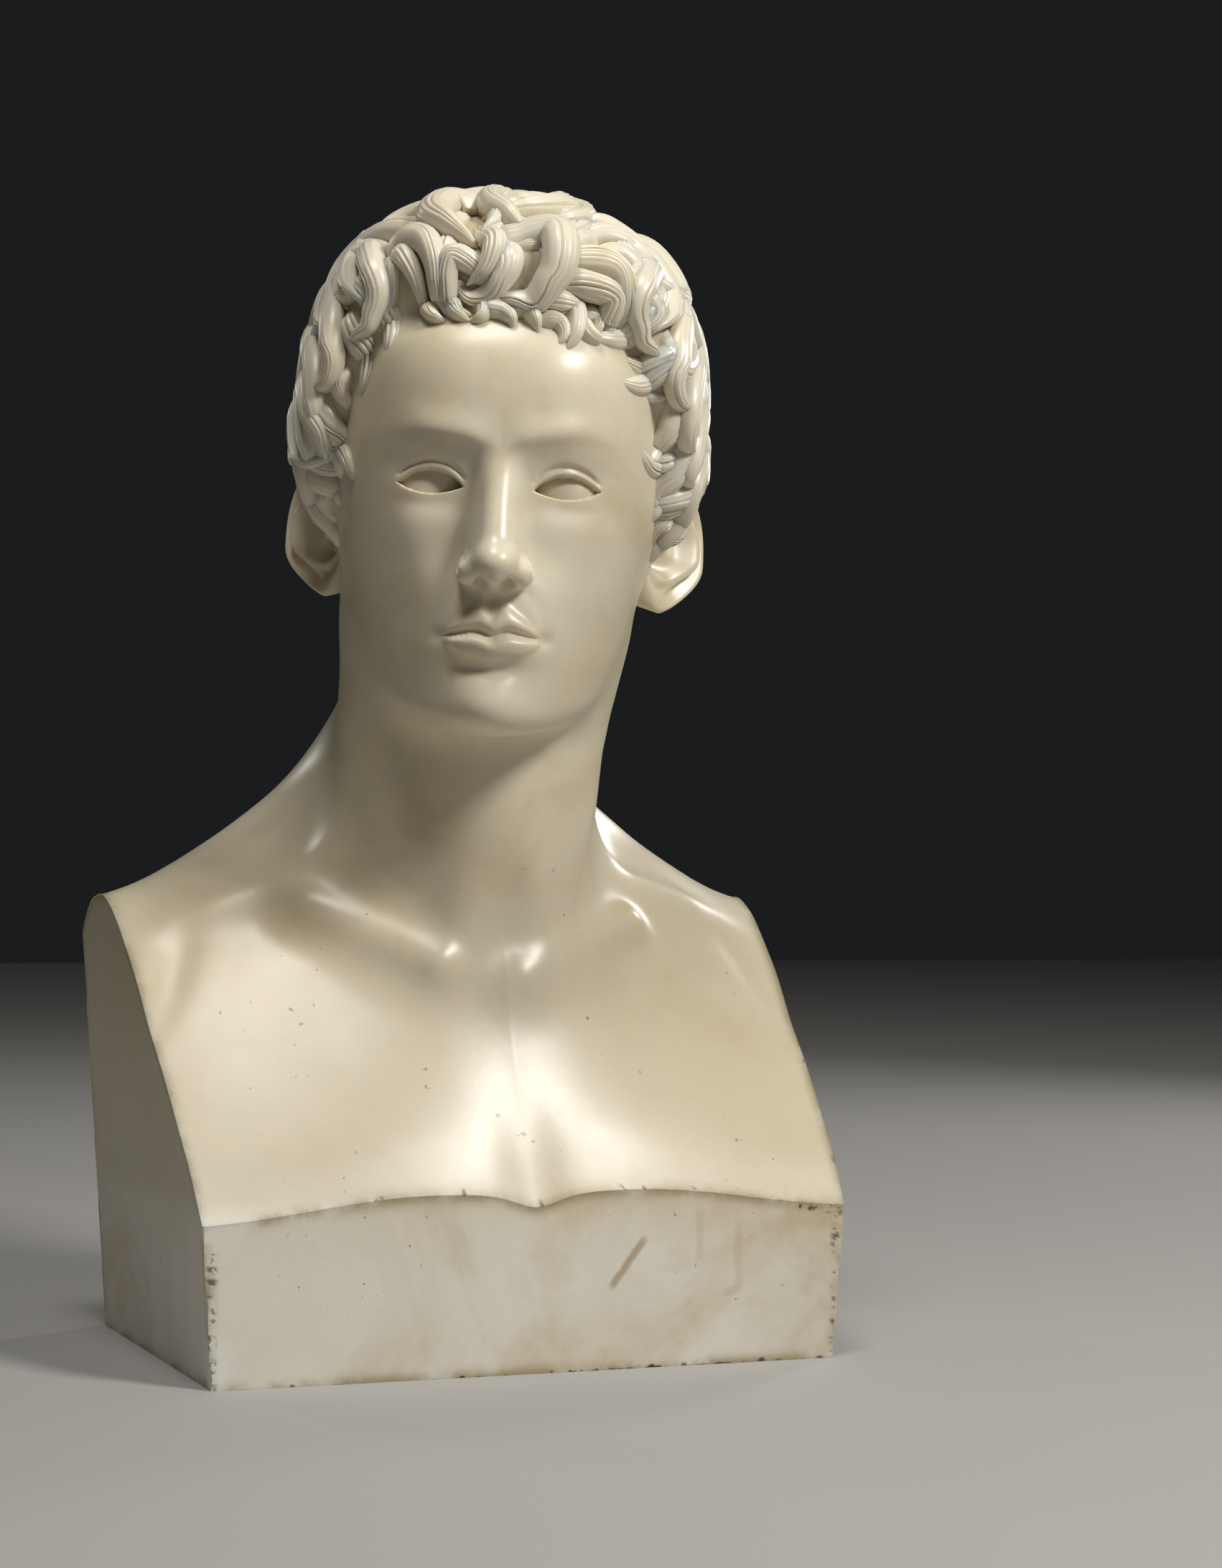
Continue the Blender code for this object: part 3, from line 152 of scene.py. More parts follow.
# The locks over each temple and ear: width, rank, and a route of (forward, up) in the side elevation
SIDE_LOCKS = [
    (0.058, 0.8, [(0.1, 0.93), (0.19, 0.9), (0.27, 0.85), (0.28, 0.79), (0.25, 0.74)]),
    (0.058, 0.7, [(0.02, 0.87), (0.12, 0.84), (0.2, 0.8), (0.24, 0.74), (0.23, 0.68), (0.19, 0.66)]),
    (0.056, 0.8, [(0, 0.79), (0.09, 0.77), (0.17, 0.73), (0.21, 0.67), (0.2, 0.61), (0.16, 0.59)]),
    (0.054, 0.7, [(-0.04, 0.72), (0.05, 0.7), (0.13, 0.66), (0.17, 0.6), (0.17, 0.55), (0.12, 0.53)]),
    (0.048, 0.8, [(-0.02, 0.64), (0.05, 0.62), (0.11, 0.58), (0.14, 0.53), (0.12, 0.47), (0.09, 0.47)]),
    (0.036, 0.8, [(0.05, 0.55), (0.1, 0.52), (0.12, 0.47), (0.11, 0.42), (0.08, 0.42)]),
    (0.03, 0.8, [(0.06, 0.48), (0.1, 0.46), (0.11, 0.41), (0.1, 0.38), (0.07, 0.38)]),
    (0.05, 1, [(-0.03, 0.72), (-0.04, 0.66), (-0.02, 0.6), (0.03, 0.56), (0.06, 0.59)]),
    (0.05, 0.8, [(-0.11, 0.7), (-0.13, 0.64), (-0.11, 0.58), (-0.07, 0.55), (-0.03, 0.57)]),
    (0.05, 0.9, [(-0.19, 0.68), (-0.21, 0.61), (-0.19, 0.55), (-0.15, 0.52), (-0.12, 0.55)]),
    (0.05, 0.7, [(-0.24, 0.6), (-0.26, 0.53), (-0.24, 0.47), (-0.2, 0.45), (-0.17, 0.47)]),
    (0.052, 0.6, [(-0.08, 0.8), (-0.05, 0.75), (-0.07, 0.69), (-0.12, 0.66)]),
    (0.052, 0.6, [(0.06, 0.92), (0.07, 0.86), (0.03, 0.81), (-0.02, 0.8)]),
]


# Small helpers for smooth forms, which are distances: below nought is stone

def blend_min(a, b, k):
    h = np.clip(0.5 + 0.5 * (b - a) / k, 0, 1)
    return b * (1 - h) + a * h - k * h * (1 - h)


def blend_max(a, b, k):
    return -blend_min(-a, -b, k)


def bell(t, width):
    return np.exp(-((t / width) ** 2))


def ease(low, high, t):
    u = np.clip((t - low) / (high - low), 0, 1)
    return u * u * (3 - 2 * u)


def curve(pairs, blur):
    """A smooth function through about the places given, running on straight past both ends."""
    xs, ys = np.array(pairs, float).T
    start, end = (ys[1] - ys[0]) / (xs[1] - xs[0]), (ys[-1] - ys[-2]) / (xs[-1] - xs[-2])
    grid = np.linspace(xs[0] - 4 * blur, xs[-1] + 4 * blur, 600)
    raw = np.interp(grid, xs, ys)
    raw = np.where(grid < xs[0], ys[0] + (grid - xs[0]) * start, raw)
    raw = np.where(grid > xs[-1], ys[-1] + (grid - xs[-1]) * end, raw)
    step = grid[1] - grid[0]
    reach = int(3 * blur / step) + 1
    share = bell(np.arange(-reach, reach + 1) * step, blur)
    smooth = np.convolve(np.pad(raw, reach, mode="edge"), share / share.sum(), mode="valid")
    return lambda t: np.interp(t, grid, smooth)


def ellipsoid(x, y, z, centre, radii):
    a, b, c = (x - centre[0]) / radii[0], (y - centre[1]) / radii[1], (z - centre[2]) / radii[2]
    k0 = np.sqrt(a * a + b * b + c * c)
    k1 = np.sqrt((a / radii[0]) ** 2 + (b / radii[1]) ** 2 + (c / radii[2]) ** 2) + 1e-9
    return k0 * (k0 - 1) / k1


def cone(x, y, z, a, b, radius_a, radius_b):
    """A round-ended bar whose radius runs from one end to the other."""
    p = np.stack([x - a[0], y - a[1], z - a[2]], -1)
    ab = np.array(b, float) - np.array(a, float)
    h = np.clip((p @ ab) / (ab @ ab), 0, 1)
    return np.linalg.norm(p - h[..., None] * ab, axis=-1) - (radius_a + (radius_b - radius_a) * h)


# The face and skull, in heads, looking to -y

face_half_width = curve([(-0.1, 0.10), (0.0, 0.172), (0.05, 0.200), (0.1, 0.226), (0.2, 0.264), (0.3, 0.288),
                         (0.4, 0.304), (0.46, 0.308), (0.55, 0.303), (0.65, 0.304), (0.8, 0.295)], 0.035)
face_front = curve([(-0.1, -0.345), (0.0, -0.388), (0.05, -0.400), (0.12, -0.394), (0.2, -0.398),
                    (0.3, -0.392), (0.38, -0.380), (0.47, -0.380), (0.53, -0.392), (0.60, -0.408),
                    (0.68, -0.410), (0.78, -0.392), (0.88, -0.35)], 0.03)
face_square = curve([(-0.1, 2.0), (0.1, 2.05), (0.2, 2.15), (0.35, 2.35), (0.5, 2.5), (0.8, 2.4)], 0.05)
hairline = curve([(0, 0.845), (22, 0.840), (36, 0.800), (46, 0.700), (54, 0.560), (64, 0.430), (76, 0.400),
                  (86, 0.470), (98, 0.500), (110, 0.380), (135, 0.250), (180, 0.180)], 3.0)


def lid_edges(x):
    """Heights of the lids' edges, with the place along the eye from -1 to 1."""
    u = (np.abs(x) - EYE_X) / EYE_HALF
    arch = np.clip(1 - u * u, 0, None)
    upper = EYE_Z + 0.003 * u + 0.0280 * arch ** 0.78 * (1 - 0.10 * u)
    lower = EYE_Z + 0.003 * u - 0.0165 * arch ** 0.85 * (1 + 0.22 * u)
    return u, upper, lower


def lip_side(t, quick, fall):
    return (1 - np.exp(-((t / quick) ** 1.7))) * (1 - fall * np.clip(t, 0, 1) ** 2)


def lips(x, z):
    ax = np.abs(x)
    u = np.clip(ax / MOUTH_HALF, 0, 1)
    line = MOUTH_Z + 0.0055 * bell(ax - 0.034, 0.022) - 0.0035 * bell(x, 0.014) - 0.004 * ease(0.6, 1.0, u)
    bow = 0.0320 * (1 - u ** 1.9) ** 0.9 - 0.0060 * bell(x, 0.014) + 0.0030 * bell(ax - 0.026, 0.014)
    belly = 0.0370 * (1 - u ** 2.3) ** 0.85
    up = np.clip((z - line) / np.maximum(bow, 1e-4), 0, None)
    down = np.clip((line - z) / np.maximum(belly, 1e-4), 0, None)
    top = 0.0155 * lip_side(up, 0.42, 0.35) * bell(np.clip(up - 1, 0, None), 0.42)
    low = 0.0215 * lip_side(down, 0.36, 0.30) * bell(np.clip(down - 1, 0, None), 0.50)
    out = np.where(z >= line, top, low) * ease(1.0, 0.80, u) * (1 - 0.50 * u ** 2)
    out -= 0.0040 * bell(z - line, 0.0095) * ease(1.08, 0.85, ax / MOUTH_HALF)
    out -= 0.0080 * bell(ax - MOUTH_HALF * 1.02, 0.016) * bell(z - (MOUTH_Z - 0.003), 0.016)
    return out


# The face's swells and hollows: forward, middle across, breadth, middle up, height
FACE_SWELLS = [
    # the sockets, deepest beside the nose
    (-0.050, 0.086, 0.046, 0.513, 0.036),
    (-0.020, 0.165, 0.055, 0.520, 0.030),
    (-0.020, 0.110, 0.060, 0.462, 0.030),
    # the cheekbones, the hollows under them, the forehead and the cheeks
    (0.014, 0.185, 0.075, 0.405, 0.062),
    (-0.010, 0.185, 0.060, 0.235, 0.075),
    (0.005, 0.12, 0.08, 0.72, 0.06),
    (0.008, 0.16, 0.09, 0.33, 0.09),
    # the mouth's mound, the hollow under the lower lip, and the chin
    (0.020, 0, 0.135, 0.215, 0.085),
    (-0.013, 0, 0.062, 0.143, 0.019),
    (0.019, 0, 0.075, 0.072, 0.048),
]


def face_swell(x, z):
    """How far the carving stands forward of the plain face."""
    ax = np.abs(x)
    brow_z = 0.562 + 0.030 * np.sin(np.clip(ax / 0.25, 0, 1) * math.pi * 0.72)
    brow = np.where(z > brow_z, bell(z - brow_z, 0.036), bell(z - brow_z, 0.018))
    out = 0.017 * brow * ease(0.27, 0.12, ax) * ease(-0.03, 0.06, ax)
    for forward, across, breadth, up, height in FACE_SWELLS:
        out += forward * bell(ax - across, breadth) * bell(z - up, height)
    # the groove over the mouth
    keep = ease(0.238, 0.262, z) * ease(0.312, 0.285, z)
    out += keep * (0.0026 * bell(ax - 0.022, 0.0115) - 0.0042 * bell(x, 0.0125))
    # the folds from the nose to the corners of the mouth
    fold_x = 0.070 + (0.30 - z) * 0.42
    out -= 0.0026 * bell(ax - fold_x, 0.016) * ease(0.205, 0.235, z) * ease(0.315, 0.275, z)
    return out + lips(x, z)


def skull_share(x, y, z):
    a = np.abs(x) / SKULL_RADII[0]
    b = np.abs(y - SKULL_Y) / SKULL_RADII[1]
    c = np.abs(z - SKULL_Z) / SKULL_RADII[2]
    return (a ** SKULL_POWER + b ** SKULL_POWER + c ** SKULL_POWER) ** (1 / SKULL_POWER)


def over_hairline(x, y, z):
    """Height over the edge of the hair, which depends on the way round the head."""
    return z - hairline(np.degrees(np.abs(np.arctan2(x, HAIR_CENTRE[1] - y))))


def hair_base_depth(z, over):
    """How far the plain mass under the locks stands off the skull, rising from the edge of the hair."""
    return 0.022 * ease(-0.012, 0.040, over) + (0.026 + 0.018 * ease(0.7, 1.0, z)) * ease(0.0, 0.11, over)


def scalp(x, y, z):
    """The skull with the smooth mass that the locks lie on."""
    return (skull_share(x, y, z) - 1) * 0.35 - hair_base_depth(z, over_hairline(x, y, z))


def head_form(x, y, z):
    ax = np.abs(x)
    skull = scalp(x, y, z)
    ys = y + face_swell(x, z) * ease(0.05, -0.12, y)
    width, front, square = face_half_width(z), face_front(z), face_square(z)
    middle = -0.02
    depth = np.where(ys < middle, middle - front, 0.20)
    rho = ((ax / width) ** square + (np.abs(ys - middle) / depth) ** square) ** (1 / square)
    mask = (rho - 1) * np.minimum(width, depth) * 1.05
    mask = blend_max(mask, (0.22 * (y + 0.36) - z) * 0.95, 0.07)
    mask = blend_max(mask, z - 0.80, 0.1)
    f = blend_min(skull, mask, 0.055)
    f = eyes(f, x, y, z)
    return nose(f, x, y, z)


def eyes(f, x, y, z):
    ax = np.abs(x)
    lids = ellipsoid(ax, y, z, (EYE_X, EYE_Y, EYE_Z), (0.079, 0.069, 0.066))
    f = blend_min(f, lids, 0.014)
    u, upper, lower = lid_edges(x)
    near = ease(1.2, 0.8, np.abs(u)) * ease(-0.22, -0.30, y)
    f = f + 0.0050 * bell(z - upper - 0.0160, 0.0055) * near
    opening = np.minimum(np.minimum(upper - z, z - lower), (1 - np.abs(u)) * EYE_HALF)
    f = blend_max(f, np.minimum(opening, EYE_Y - y) * 0.9, 0.0030)
    ball = ellipsoid(ax, y, z, (EYE_X, EYE_Y, EYE_Z), (0.074, 0.0635, 0.061))
    return np.minimum(f, ball)


def nose(f, x, y, z):
    ax = np.abs(x)
    f = blend_min(f, cone(x, y, z, (0, -0.352, 0.520), (0, -0.410, 0.345), 0.034, 0.052), 0.034)
    f = blend_min(f, cone(x, y, z, (0, -0.378, 0.560), (0, -0.449, 0.352), 0.029, 0.033), 0.030)
    f = blend_min(f, ellipsoid(x, y, z, (0, -0.461, 0.335), (0.040, 0.041, 0.033)), 0.024)
    f = blend_min(f, ellipsoid(ax, y, z, (0.046, -0.424, 0.322), (0.029, 0.038, 0.029)), 0.014)
    f = blend_min(f, cone(x, y, z, (0, -0.474, 0.312), (0, -0.412, 0.300), 0.014, 0.015), 0.012)
    return blend_max(f, -ellipsoid(ax, y, z, (0.0262, -0.438, 0.297), (0.0125, 0.024, 0.017)), 0.006)


def into_head(p):
    """Places in metres, in heads."""
    x, y, z = p[..., 0], p[..., 1] + HEAD_FORWARD, p[..., 2] - CHIN_HEIGHT
    c, s = math.cos(HEAD_TURN), math.sin(HEAD_TURN)
    x, y = c * x + s * y, -s * x + c * y
    c, s = math.cos(HEAD_TIP), math.sin(HEAD_TIP)
    x, z = c * x - s * z, s * x + c * z
    return x / HEAD_HEIGHT, y / HEAD_HEIGHT, z / HEAD_HEIGHT


def out_of_head(p):
    """Places in heads, in metres."""
    x, y, z = p[..., 0] * HEAD_HEIGHT, p[..., 1] * HEAD_HEIGHT, p[..., 2] * HEAD_HEIGHT
    c, s = math.cos(HEAD_TIP), math.sin(HEAD_TIP)
    x, z = c * x + s * z, -s * x + c * z
    c, s = math.cos(HEAD_TURN), math.sin(HEAD_TURN)
    x, y = c * x - s * y, s * x + c * y
    return np.stack([x, y - HEAD_FORWARD, z + CHIN_HEIGHT], -1)


# The chest and neck; across and back are shares of the block's half width and half depth

side_profile = curve([(-1.33, -0.20), (-1.0, 0.0), (-0.867, 0.146), (-0.612, 0.333), (-0.306, 0.549),
                      (0.0, 0.757), (0.306, 0.931), (0.51, 0.997), (0.765, 0.972), (0.969, 0.882),
                      (1.12, 0.757)], 0.08)
trapezius = curve([(-0.13, 2.25), (0.2, 1.62), (0.433, 0.958), (0.533, 0.725), (0.667, 0.514), (0.833, 0.282),
                   (0.967, 0.113), (1.107, 0.0), (1.33, 0.0)], 0.053)


def chest_top(x, y):
    """Height of the chest and shoulders, before the neck."""
    u, v = np.abs(x) / HALF_WIDTH, y / HALF_DEPTH
    lower = bell(v + 0.969, 0.51)
    carve = 0.055 * lower * bell(u - 0.413, 0.413) + 0.010 * lower * bell(u, 0.133)
    carve -= (0.016 + 0.024 * ease(-0.66, -1.02, v)) * bell(u, 0.100) * ease(-0.459, -0.867, v)
    # the collar bones and the pits behind them
    bone = -0.224 + 0.551 * (u - 0.08) - 0.264 * np.clip(u - 0.333, 0, None) ** 2
    carve += 0.042 * bell(v - bone, 0.0765) * ease(0.053, 0.133, u) * ease(1.1, 0.8, u)
    carve += 0.040 * bell(v + 0.205, 0.060) * bell(u - 0.115, 0.045)
    carve -= 0.056 * bell(v - bone - 0.224, 0.122) * bell(u - 0.5, 0.187)
    # the groove between shoulder and breast
    carve -= 0.014 * bell((v + 0.122 - 1.76 * (1 - u)) * 0.66, 0.0950) * ease(0.787, 1.0, u)
    rise = ease(-1.22, 0.56, v) * (0.36 + 0.64 * ease(1.07, 0.63, v))
    return BAND_HEIGHT + CHEST_RISE * (side_profile(v) + carve) + NECK_RISE * trapezius(u) * rise


# The collar bones' inner halves, each from its head beside the pit of the neck, in metres
COLLAR_BONES = [((-0.031, -0.046, 0.184), (-0.080, -0.007, 0.209)),
                ((0.008, -0.050, 0.180), (0.075, -0.018, 0.202))]
COLLAR_RADII = (0.0062, 0.0032)
COLLAR_BLEND = 0.012


def neck_form(x, y, z):
    h = HEAD_HEIGHT
    low, pit = SHOULDER_HEIGHT - 0.75 * NECK_RISE, SHOULDER_HEIGHT - 0.32 * NECK_RISE
    nape = (0, -0.017 * h, CHIN_HEIGHT + 0.24 * h)
    f = cone(x, y, z, (0, 0.10 * h, low), nape, NECK_WIDTH * 0.52, NECK_WIDTH * 0.49)
    for side in (-1, 1):
        # the muscle from behind each ear to the pit of the neck
        ear = out_of_head(np.array([side * 0.19, 0.093, 0.237]))
        muscle = cone(x, y, z, ear, (side * 0.06 * h, -0.127 * h, pit), 0.074 * h, 0.036 * h)
        f = blend_min(f, muscle, 0.085 * h)
    throat = cone(x, y, z, (-0.025 * h, -0.17 * h, CHIN_HEIGHT), (0, -0.127 * h, pit), 0.085 * h, 0.06 * h)
    f = blend_min(f, throat, 0.106 * h)
    for inner, outer in COLLAR_BONES:
        f = blend_min(f, cone(x, y, z, inner, outer, *COLLAR_RADII), COLLAR_BLEND)
    notch = ellipsoid(x, y, z, (0, -0.285 * h, pit + 0.060 * h), (0.060 * h, 0.055 * h, 0.085 * h))
    return f, notch


def trunk_form(x, y, z):
    neck, notch = neck_form(x, y, z)
    f = blend_min((z - chest_top(x, y)) * 0.72, neck, 0.115 * HEAD_HEIGHT)
    return blend_max(f, -notch, 0.085 * HEAD_HEIGHT)


def flesh(p):
    hx, hy, hz = into_head(p)
    head = head_form(hx, hy, hz) * HEAD_HEIGHT
    return blend_min(trunk_form(p[..., 0], p[..., 1], p[..., 2]), head, 0.068 * HEAD_HEIGHT)


# Lines down the surface, found by casting rays from inside the stone

def cast(origin, direction, reach, form):
    """First place along each ray where the form ends."""
    near = np.zeros(len(origin))
    far = np.full(len(origin), reach)
    alive = np.arange(len(origin))
    while len(alive):
        depth = form(origin[alive] + direction[alive] * near[alive, None])
        out = depth > 0
        far[alive[out]] = near[alive[out]]
        near[alive[~out]] += np.clip(-0.75 * depth, 0.004 * reach, 0.0125 * reach)[~out]
        alive = alive[~out & (near[alive] < reach)]
    low, high = far - 0.014 * reach, far.copy()
    for _ in range(11):
        mid = (low + high) / 2
        outside = form(origin + direction * mid[:, None]) > 0
        high = np.where(outside, mid, high)
        low = np.where(outside, low, mid)
    return origin + direction * ((low + high) / 2)[:, None]


def spread(stations, total):
    """Values from the first station to the last, closer where a station asks for a finer step."""
    value, step = np.array(stations, float).T
    fine = np.linspace(value[0], value[-1], 4001)
    dense = np.interp(fine, value, 1 / step)
    gone = np.concatenate([[0], np.cumsum((dense[1:] + dense[:-1]) / 2)])
    return np.interp(np.linspace(0, gone[-1], total), gone, fine)


def ray_direction(azimuth, elevation):
    """Azimuth 0 is the front, and positive azimuths turn to +x."""
    flat = np.cos(elevation)
    return np.stack([np.sin(azimuth) * flat, -np.cos(azimuth) * flat, np.sin(elevation) + 0 * azimuth], -1)


def wall_point(azimuth, z):
    """Where the block's upright planes lie, seen from its middle line."""
    across, along = np.sin(azimuth), -np.cos(azimuth)
    half = HALF_WIDTH + SIDE_FLARE * z
    side, end = np.maximum(np.abs(across), 1e-6), np.maximum(np.abs(along), 1e-6)
    reach = np.minimum(half / side, HALF_DEPTH / end)
    return np.stack([across * reach, along * reach, z + 0 * azimuth], -1)


def through_corners(azimuths):
    """The azimuths with the nearest one moved onto each of the block's corners."""
    for turn in CORNERS:
        azimuths[np.abs(azimuths - turn).argmin()] = turn
    return azimuths


def arris_height(azimuth):
    low, high = np.full(len(azimuth), 0.1 * BAND_HEIGHT), np.full(len(azimuth), CHIN_HEIGHT)
    for _ in range(30):
        mid = (low + high) / 2
        out = trunk_form(*wall_point(azimuth, mid).T) > 0
        high = np.where(out, mid, high)
        low = np.where(out, low, mid)
    return (low + high) / 2


def root_height(azimuth):
    """Where the neck's lines end: low at the pit of the throat, high where the shoulders rise to it."""
    return SHOULDER_HEIGHT + NECK_RISE * (0.86 - 0.51 * np.cos(azimuth) - 0.42 * np.cos(2 * azimuth))


def places_hit(origins, directions):
    """Rows of places on the surface, one for each row of rays."""
    hits = cast(np.concatenate(origins), np.concatenate(directions), CAST_REACH, flesh)
    return hits.reshape(-1, COLUMNS, 3)


def surface_lines():
    """Lines from the crown over head, neck and chest to the arris, one a column, closest over the face."""
    deg = math.radians
    half = [(0, 0.42), (deg(26), 0.45), (deg(38), 0.75), (deg(75), 1.3), (deg(180), 2.0)]
    head_az = spread([(-a, s) for a, s in half[:0:-1]] + half, COLUMNS + 1)[:-1]
    stations = [(-math.pi, 2.2), (0, 0.8), (math.pi, 2.2)]
    for turn, fine in zip(CORNERS, (0.5, 0.25, 0.25, 0.5)):
        stations += [(turn - deg(4), 3.2 * fine), (turn, fine), (turn + deg(4), 3.2 * fine)]
    block_az = through_corners(spread(sorted(stations), COLUMNS + 1)[:-1])
    centre = np.array([0, -HEAD_FORWARD, CHIN_HEIGHT + 0.45 * HEAD_HEIGHT])
    core = np.array([0, 0.04 * HALF_DEPTH, BAND_HEIGHT + 0.39 * CHEST_RISE])
    head_count, neck_count, chest_count = (int(2 * RINGS * share) for share in SAMPLE_SHARES)
    # steep under the chin, flatter at the nape, where the shoulders rise
    low = deg(-46) + deg(28) * ease(deg(50), deg(125), np.abs(head_az))
    origins, directions = [], []
    turns = [(0, 2.2), (0.40, 2.0), (0.50, 0.7), (0.58, 0.45), (0.66, 0.45), (0.72, 0.6), (0.84, 0.5),
             (0.94, 0.5), (1, 1)]
    for elevation in spread(turns, head_count):
        origins.append(np.tile(centre, (COLUMNS, 1)))
        directions.append(ray_direction(head_az + HEAD_TURN, deg(88.5) * (1 - elevation) + low * elevation))
    neck_az = (head_az + HEAD_TURN + block_az) / 2
    for t in np.linspace(0, 1, neck_count + 1)[1:]:
        azimuth = (head_az + HEAD_TURN) * (1 - t) + neck_az * t
        root = np.stack([0 * azimuth, 0 * azimuth, root_height(azimuth)], -1)
        origins.append(centre * (1 - t) + root * t)
        directions.append(ray_direction(azimuth, low + (deg(-10) - low) * ease(0.50, 1.0, t)))
    upper = places_hit(origins, directions)
    arris = wall_point(block_az, arris_height(block_az))
    origins, directions = [], []
    for t in np.linspace(0, 1, chest_count + 1)[1:]:
        aim = upper[-1] * (1 - t) + arris * t - core
        origins.append(np.tile(core, (COLUMNS, 1)))
        directions.append(aim / np.linalg.norm(aim, axis=-1)[:, None])
    chest = places_hit(origins, directions)
    # places that ran past the block's planes go back onto them
    limit = wall_point(np.arctan2(chest[..., 0], -chest[..., 1]), chest[..., 2])
    share = np.hypot(limit[..., 0], limit[..., 1]) / np.hypot(chest[..., 0], chest[..., 1])
    chest[..., :2] *= np.minimum(1, share)[..., None]
    chest[-1] = arris
    return np.concatenate([upper, chest])


def share_out(lines, rings, weight):
    """The same lines with their points shared out along them, closer where the weight is high."""
    step = np.linalg.norm(np.diff(lines, axis=0), axis=-1)
    step = np.minimum(step, 6 * np.median(step)) * weight((lines[1:] + lines[:-1]) / 2)
    around = np.arange(-3 * LINE_BLUR, 3 * LINE_BLUR + 1)
    share = bell(around, LINE_BLUR) / bell(around, LINE_BLUR).sum()
    step = sum(part * np.roll(step, turn, axis=1) for part, turn in zip(share, around))
    along = np.concatenate([np.zeros((1, lines.shape[1])), np.cumsum(step, axis=0)])
    out = np.empty((rings, lines.shape[1], 3))
    for column in range(lines.shape[1]):
        want = np.linspace(0, along[-1, column], rings)
        for axis in range(3):
            out[:, column, axis] = np.interp(want, along[:, column], lines[:, column, axis])
    return out


def face_weight(p):
    """Finest at the eyes and the mouth, coarsest under the hair."""
    hx, hy, hz = into_head(p)
    front = ease(-0.05, -0.25, hy)
    fine = 1.5 * ease(0.72, 0.62, hz) * ease(-0.1, 0.0, hz)
    fine = fine + 6.0 * bell(hz - EYE_Z, 0.042) + 2.5 * bell(hz - MOUTH_Z, 0.050)
    return 1 + front * fine - 0.5 * ease(0.04, 0.12, over_hairline(hx, hy, hz)) * (hz > 0.1)


def settled(rings):
    """The neck's places evened out against their neighbours, so that no crease is left under the jaw."""
    for _ in range(SETTLE_PASSES):
        even = rings.copy()
        even[1:-1] = (rings[:-2] + 2 * rings[1:-1] + rings[2:]) / 4
        even = (np.roll(even, 1, axis=1) + 2 * even + np.roll(even, -1, axis=1)) / 4
        hx, hy, hz = into_head(rings)
        jaw = ease(0.10, 0.0, hz - 0.45 * ease(-0.25, 0.05, hy))
        share = jaw * ease(SHOULDER_HEIGHT - 0.02, SHOULDER_HEIGHT + 0.02, rings[..., 2])
        rings = rings + (even - rings) * share[..., None]
    return rings


def body_rings():
    """The figure from the crown to the arris, turned in at its end to lie under the block's planes."""
    top = settled(share_out(surface_lines(), RINGS, face_weight))
    crown = np.tile(top[0].mean(0), (1, COLUMNS, 1))
    return np.concatenate([crown, top, top[-1:] * TURN_IN])


def wall_rings():
    """The block's upright planes from the arris down, turned in at their top, and the underside."""
    block_az = through_corners(np.linspace(-math.pi, math.pi, WALL_COLUMNS, endpoint=False))
    arris = arris_height(block_az)
    fall = (1 - np.cos(np.linspace(0, math.pi, WALL_RINGS))) / 2
    walls = np.array([wall_point(block_az, arris * (1 - t)) for t in fall])
    under = [walls[-1] * share * [1, 1, 0] for share in (0.985, 0.95, 0.0)]
    return np.concatenate([walls[:1] * TURN_IN, walls, under])


# Nicks in the arrises, in metres: the least size, what chance adds at most, and the knocked stretches
CHIP_SEED = 11
CHIP_SIZES = (0.0008, 0.0024)
ARRIS_FADE = 0.0035
KNOCKED_FOOT = (0.0, 0.125)
KNOCKED_CORNER = 0.045


def arris_lines():
    """Lines along the block's arrises, with how many nicks each takes and how large they run."""
    turn = np.linspace(-math.pi, math.pi, 500, endpoint=False)
    foot = wall_point(turn, 0 * turn)
    knocked = foot[(foot[:, 0] > KNOCKED_FOOT[0]) & (foot[:, 0] < KNOCKED_FOOT[1]) & (foot[:, 1] < 0)]
    lines = [(foot, 90, 0.8), (knocked, 60, 1.0), (wall_point(turn, arris_height(turn)), 60, 0.45)]
    for azimuth in (-CORNER, CORNER, math.pi - CORNER, CORNER - math.pi):
        height = arris_height(np.array([azimuth]))[0]
        lines.append((wall_point(np.full(120, azimuth), np.linspace(0, height, 120)), 26, 0.8))
    # the foot of the left front corner and the band's end at the right one are the most knocked
    for azimuth, low in ((-CORNER, 0.0), (CORNER, BAND_HEIGHT - KNOCKED_CORNER * 0.3)):
        rise = np.linspace(low, low + KNOCKED_CORNER * 0.5, 40)
        lines.append((wall_point(np.full(40, azimuth), rise), 14, 1.1))
    return lines


def chipped(points):
    """The places with round nicks bitten out of the arrises, and 1 where a nick is."""
    rng = np.random.default_rng(CHIP_SEED)
    flat = points.reshape(-1, 3).copy()
    fresh = np.zeros(len(flat))
    for line, count, scale in arris_lines():
        for _ in range(count):
            middle = line[rng.integers(len(line))]
            size = scale * (CHIP_SIZES[0] + CHIP_SIZES[1] * rng.random() ** 2.5)
            out = middle - np.array([0, 0, BAND_HEIGHT * 0.8])
            out = out / np.linalg.norm(out) + rng.uniform(-0.3, 0.3, 3)
            middle = middle + out * size * rng.uniform(0.35, 0.8)
            squash = rng.uniform(0.5, 1.0, 3)
            near = (flat - middle) / squash
            gap = np.linalg.norm(near, axis=-1)
            inside = gap < size
            flat[inside] = middle + near[inside] / (gap[inside, None] + 1e-9) * size * squash
            fresh[gap < size * 1.12] = 1
    flat[:, 2] = np.maximum(flat[:, 2], 0)
    return flat.reshape(points.shape), fresh.reshape(points.shape[:2])


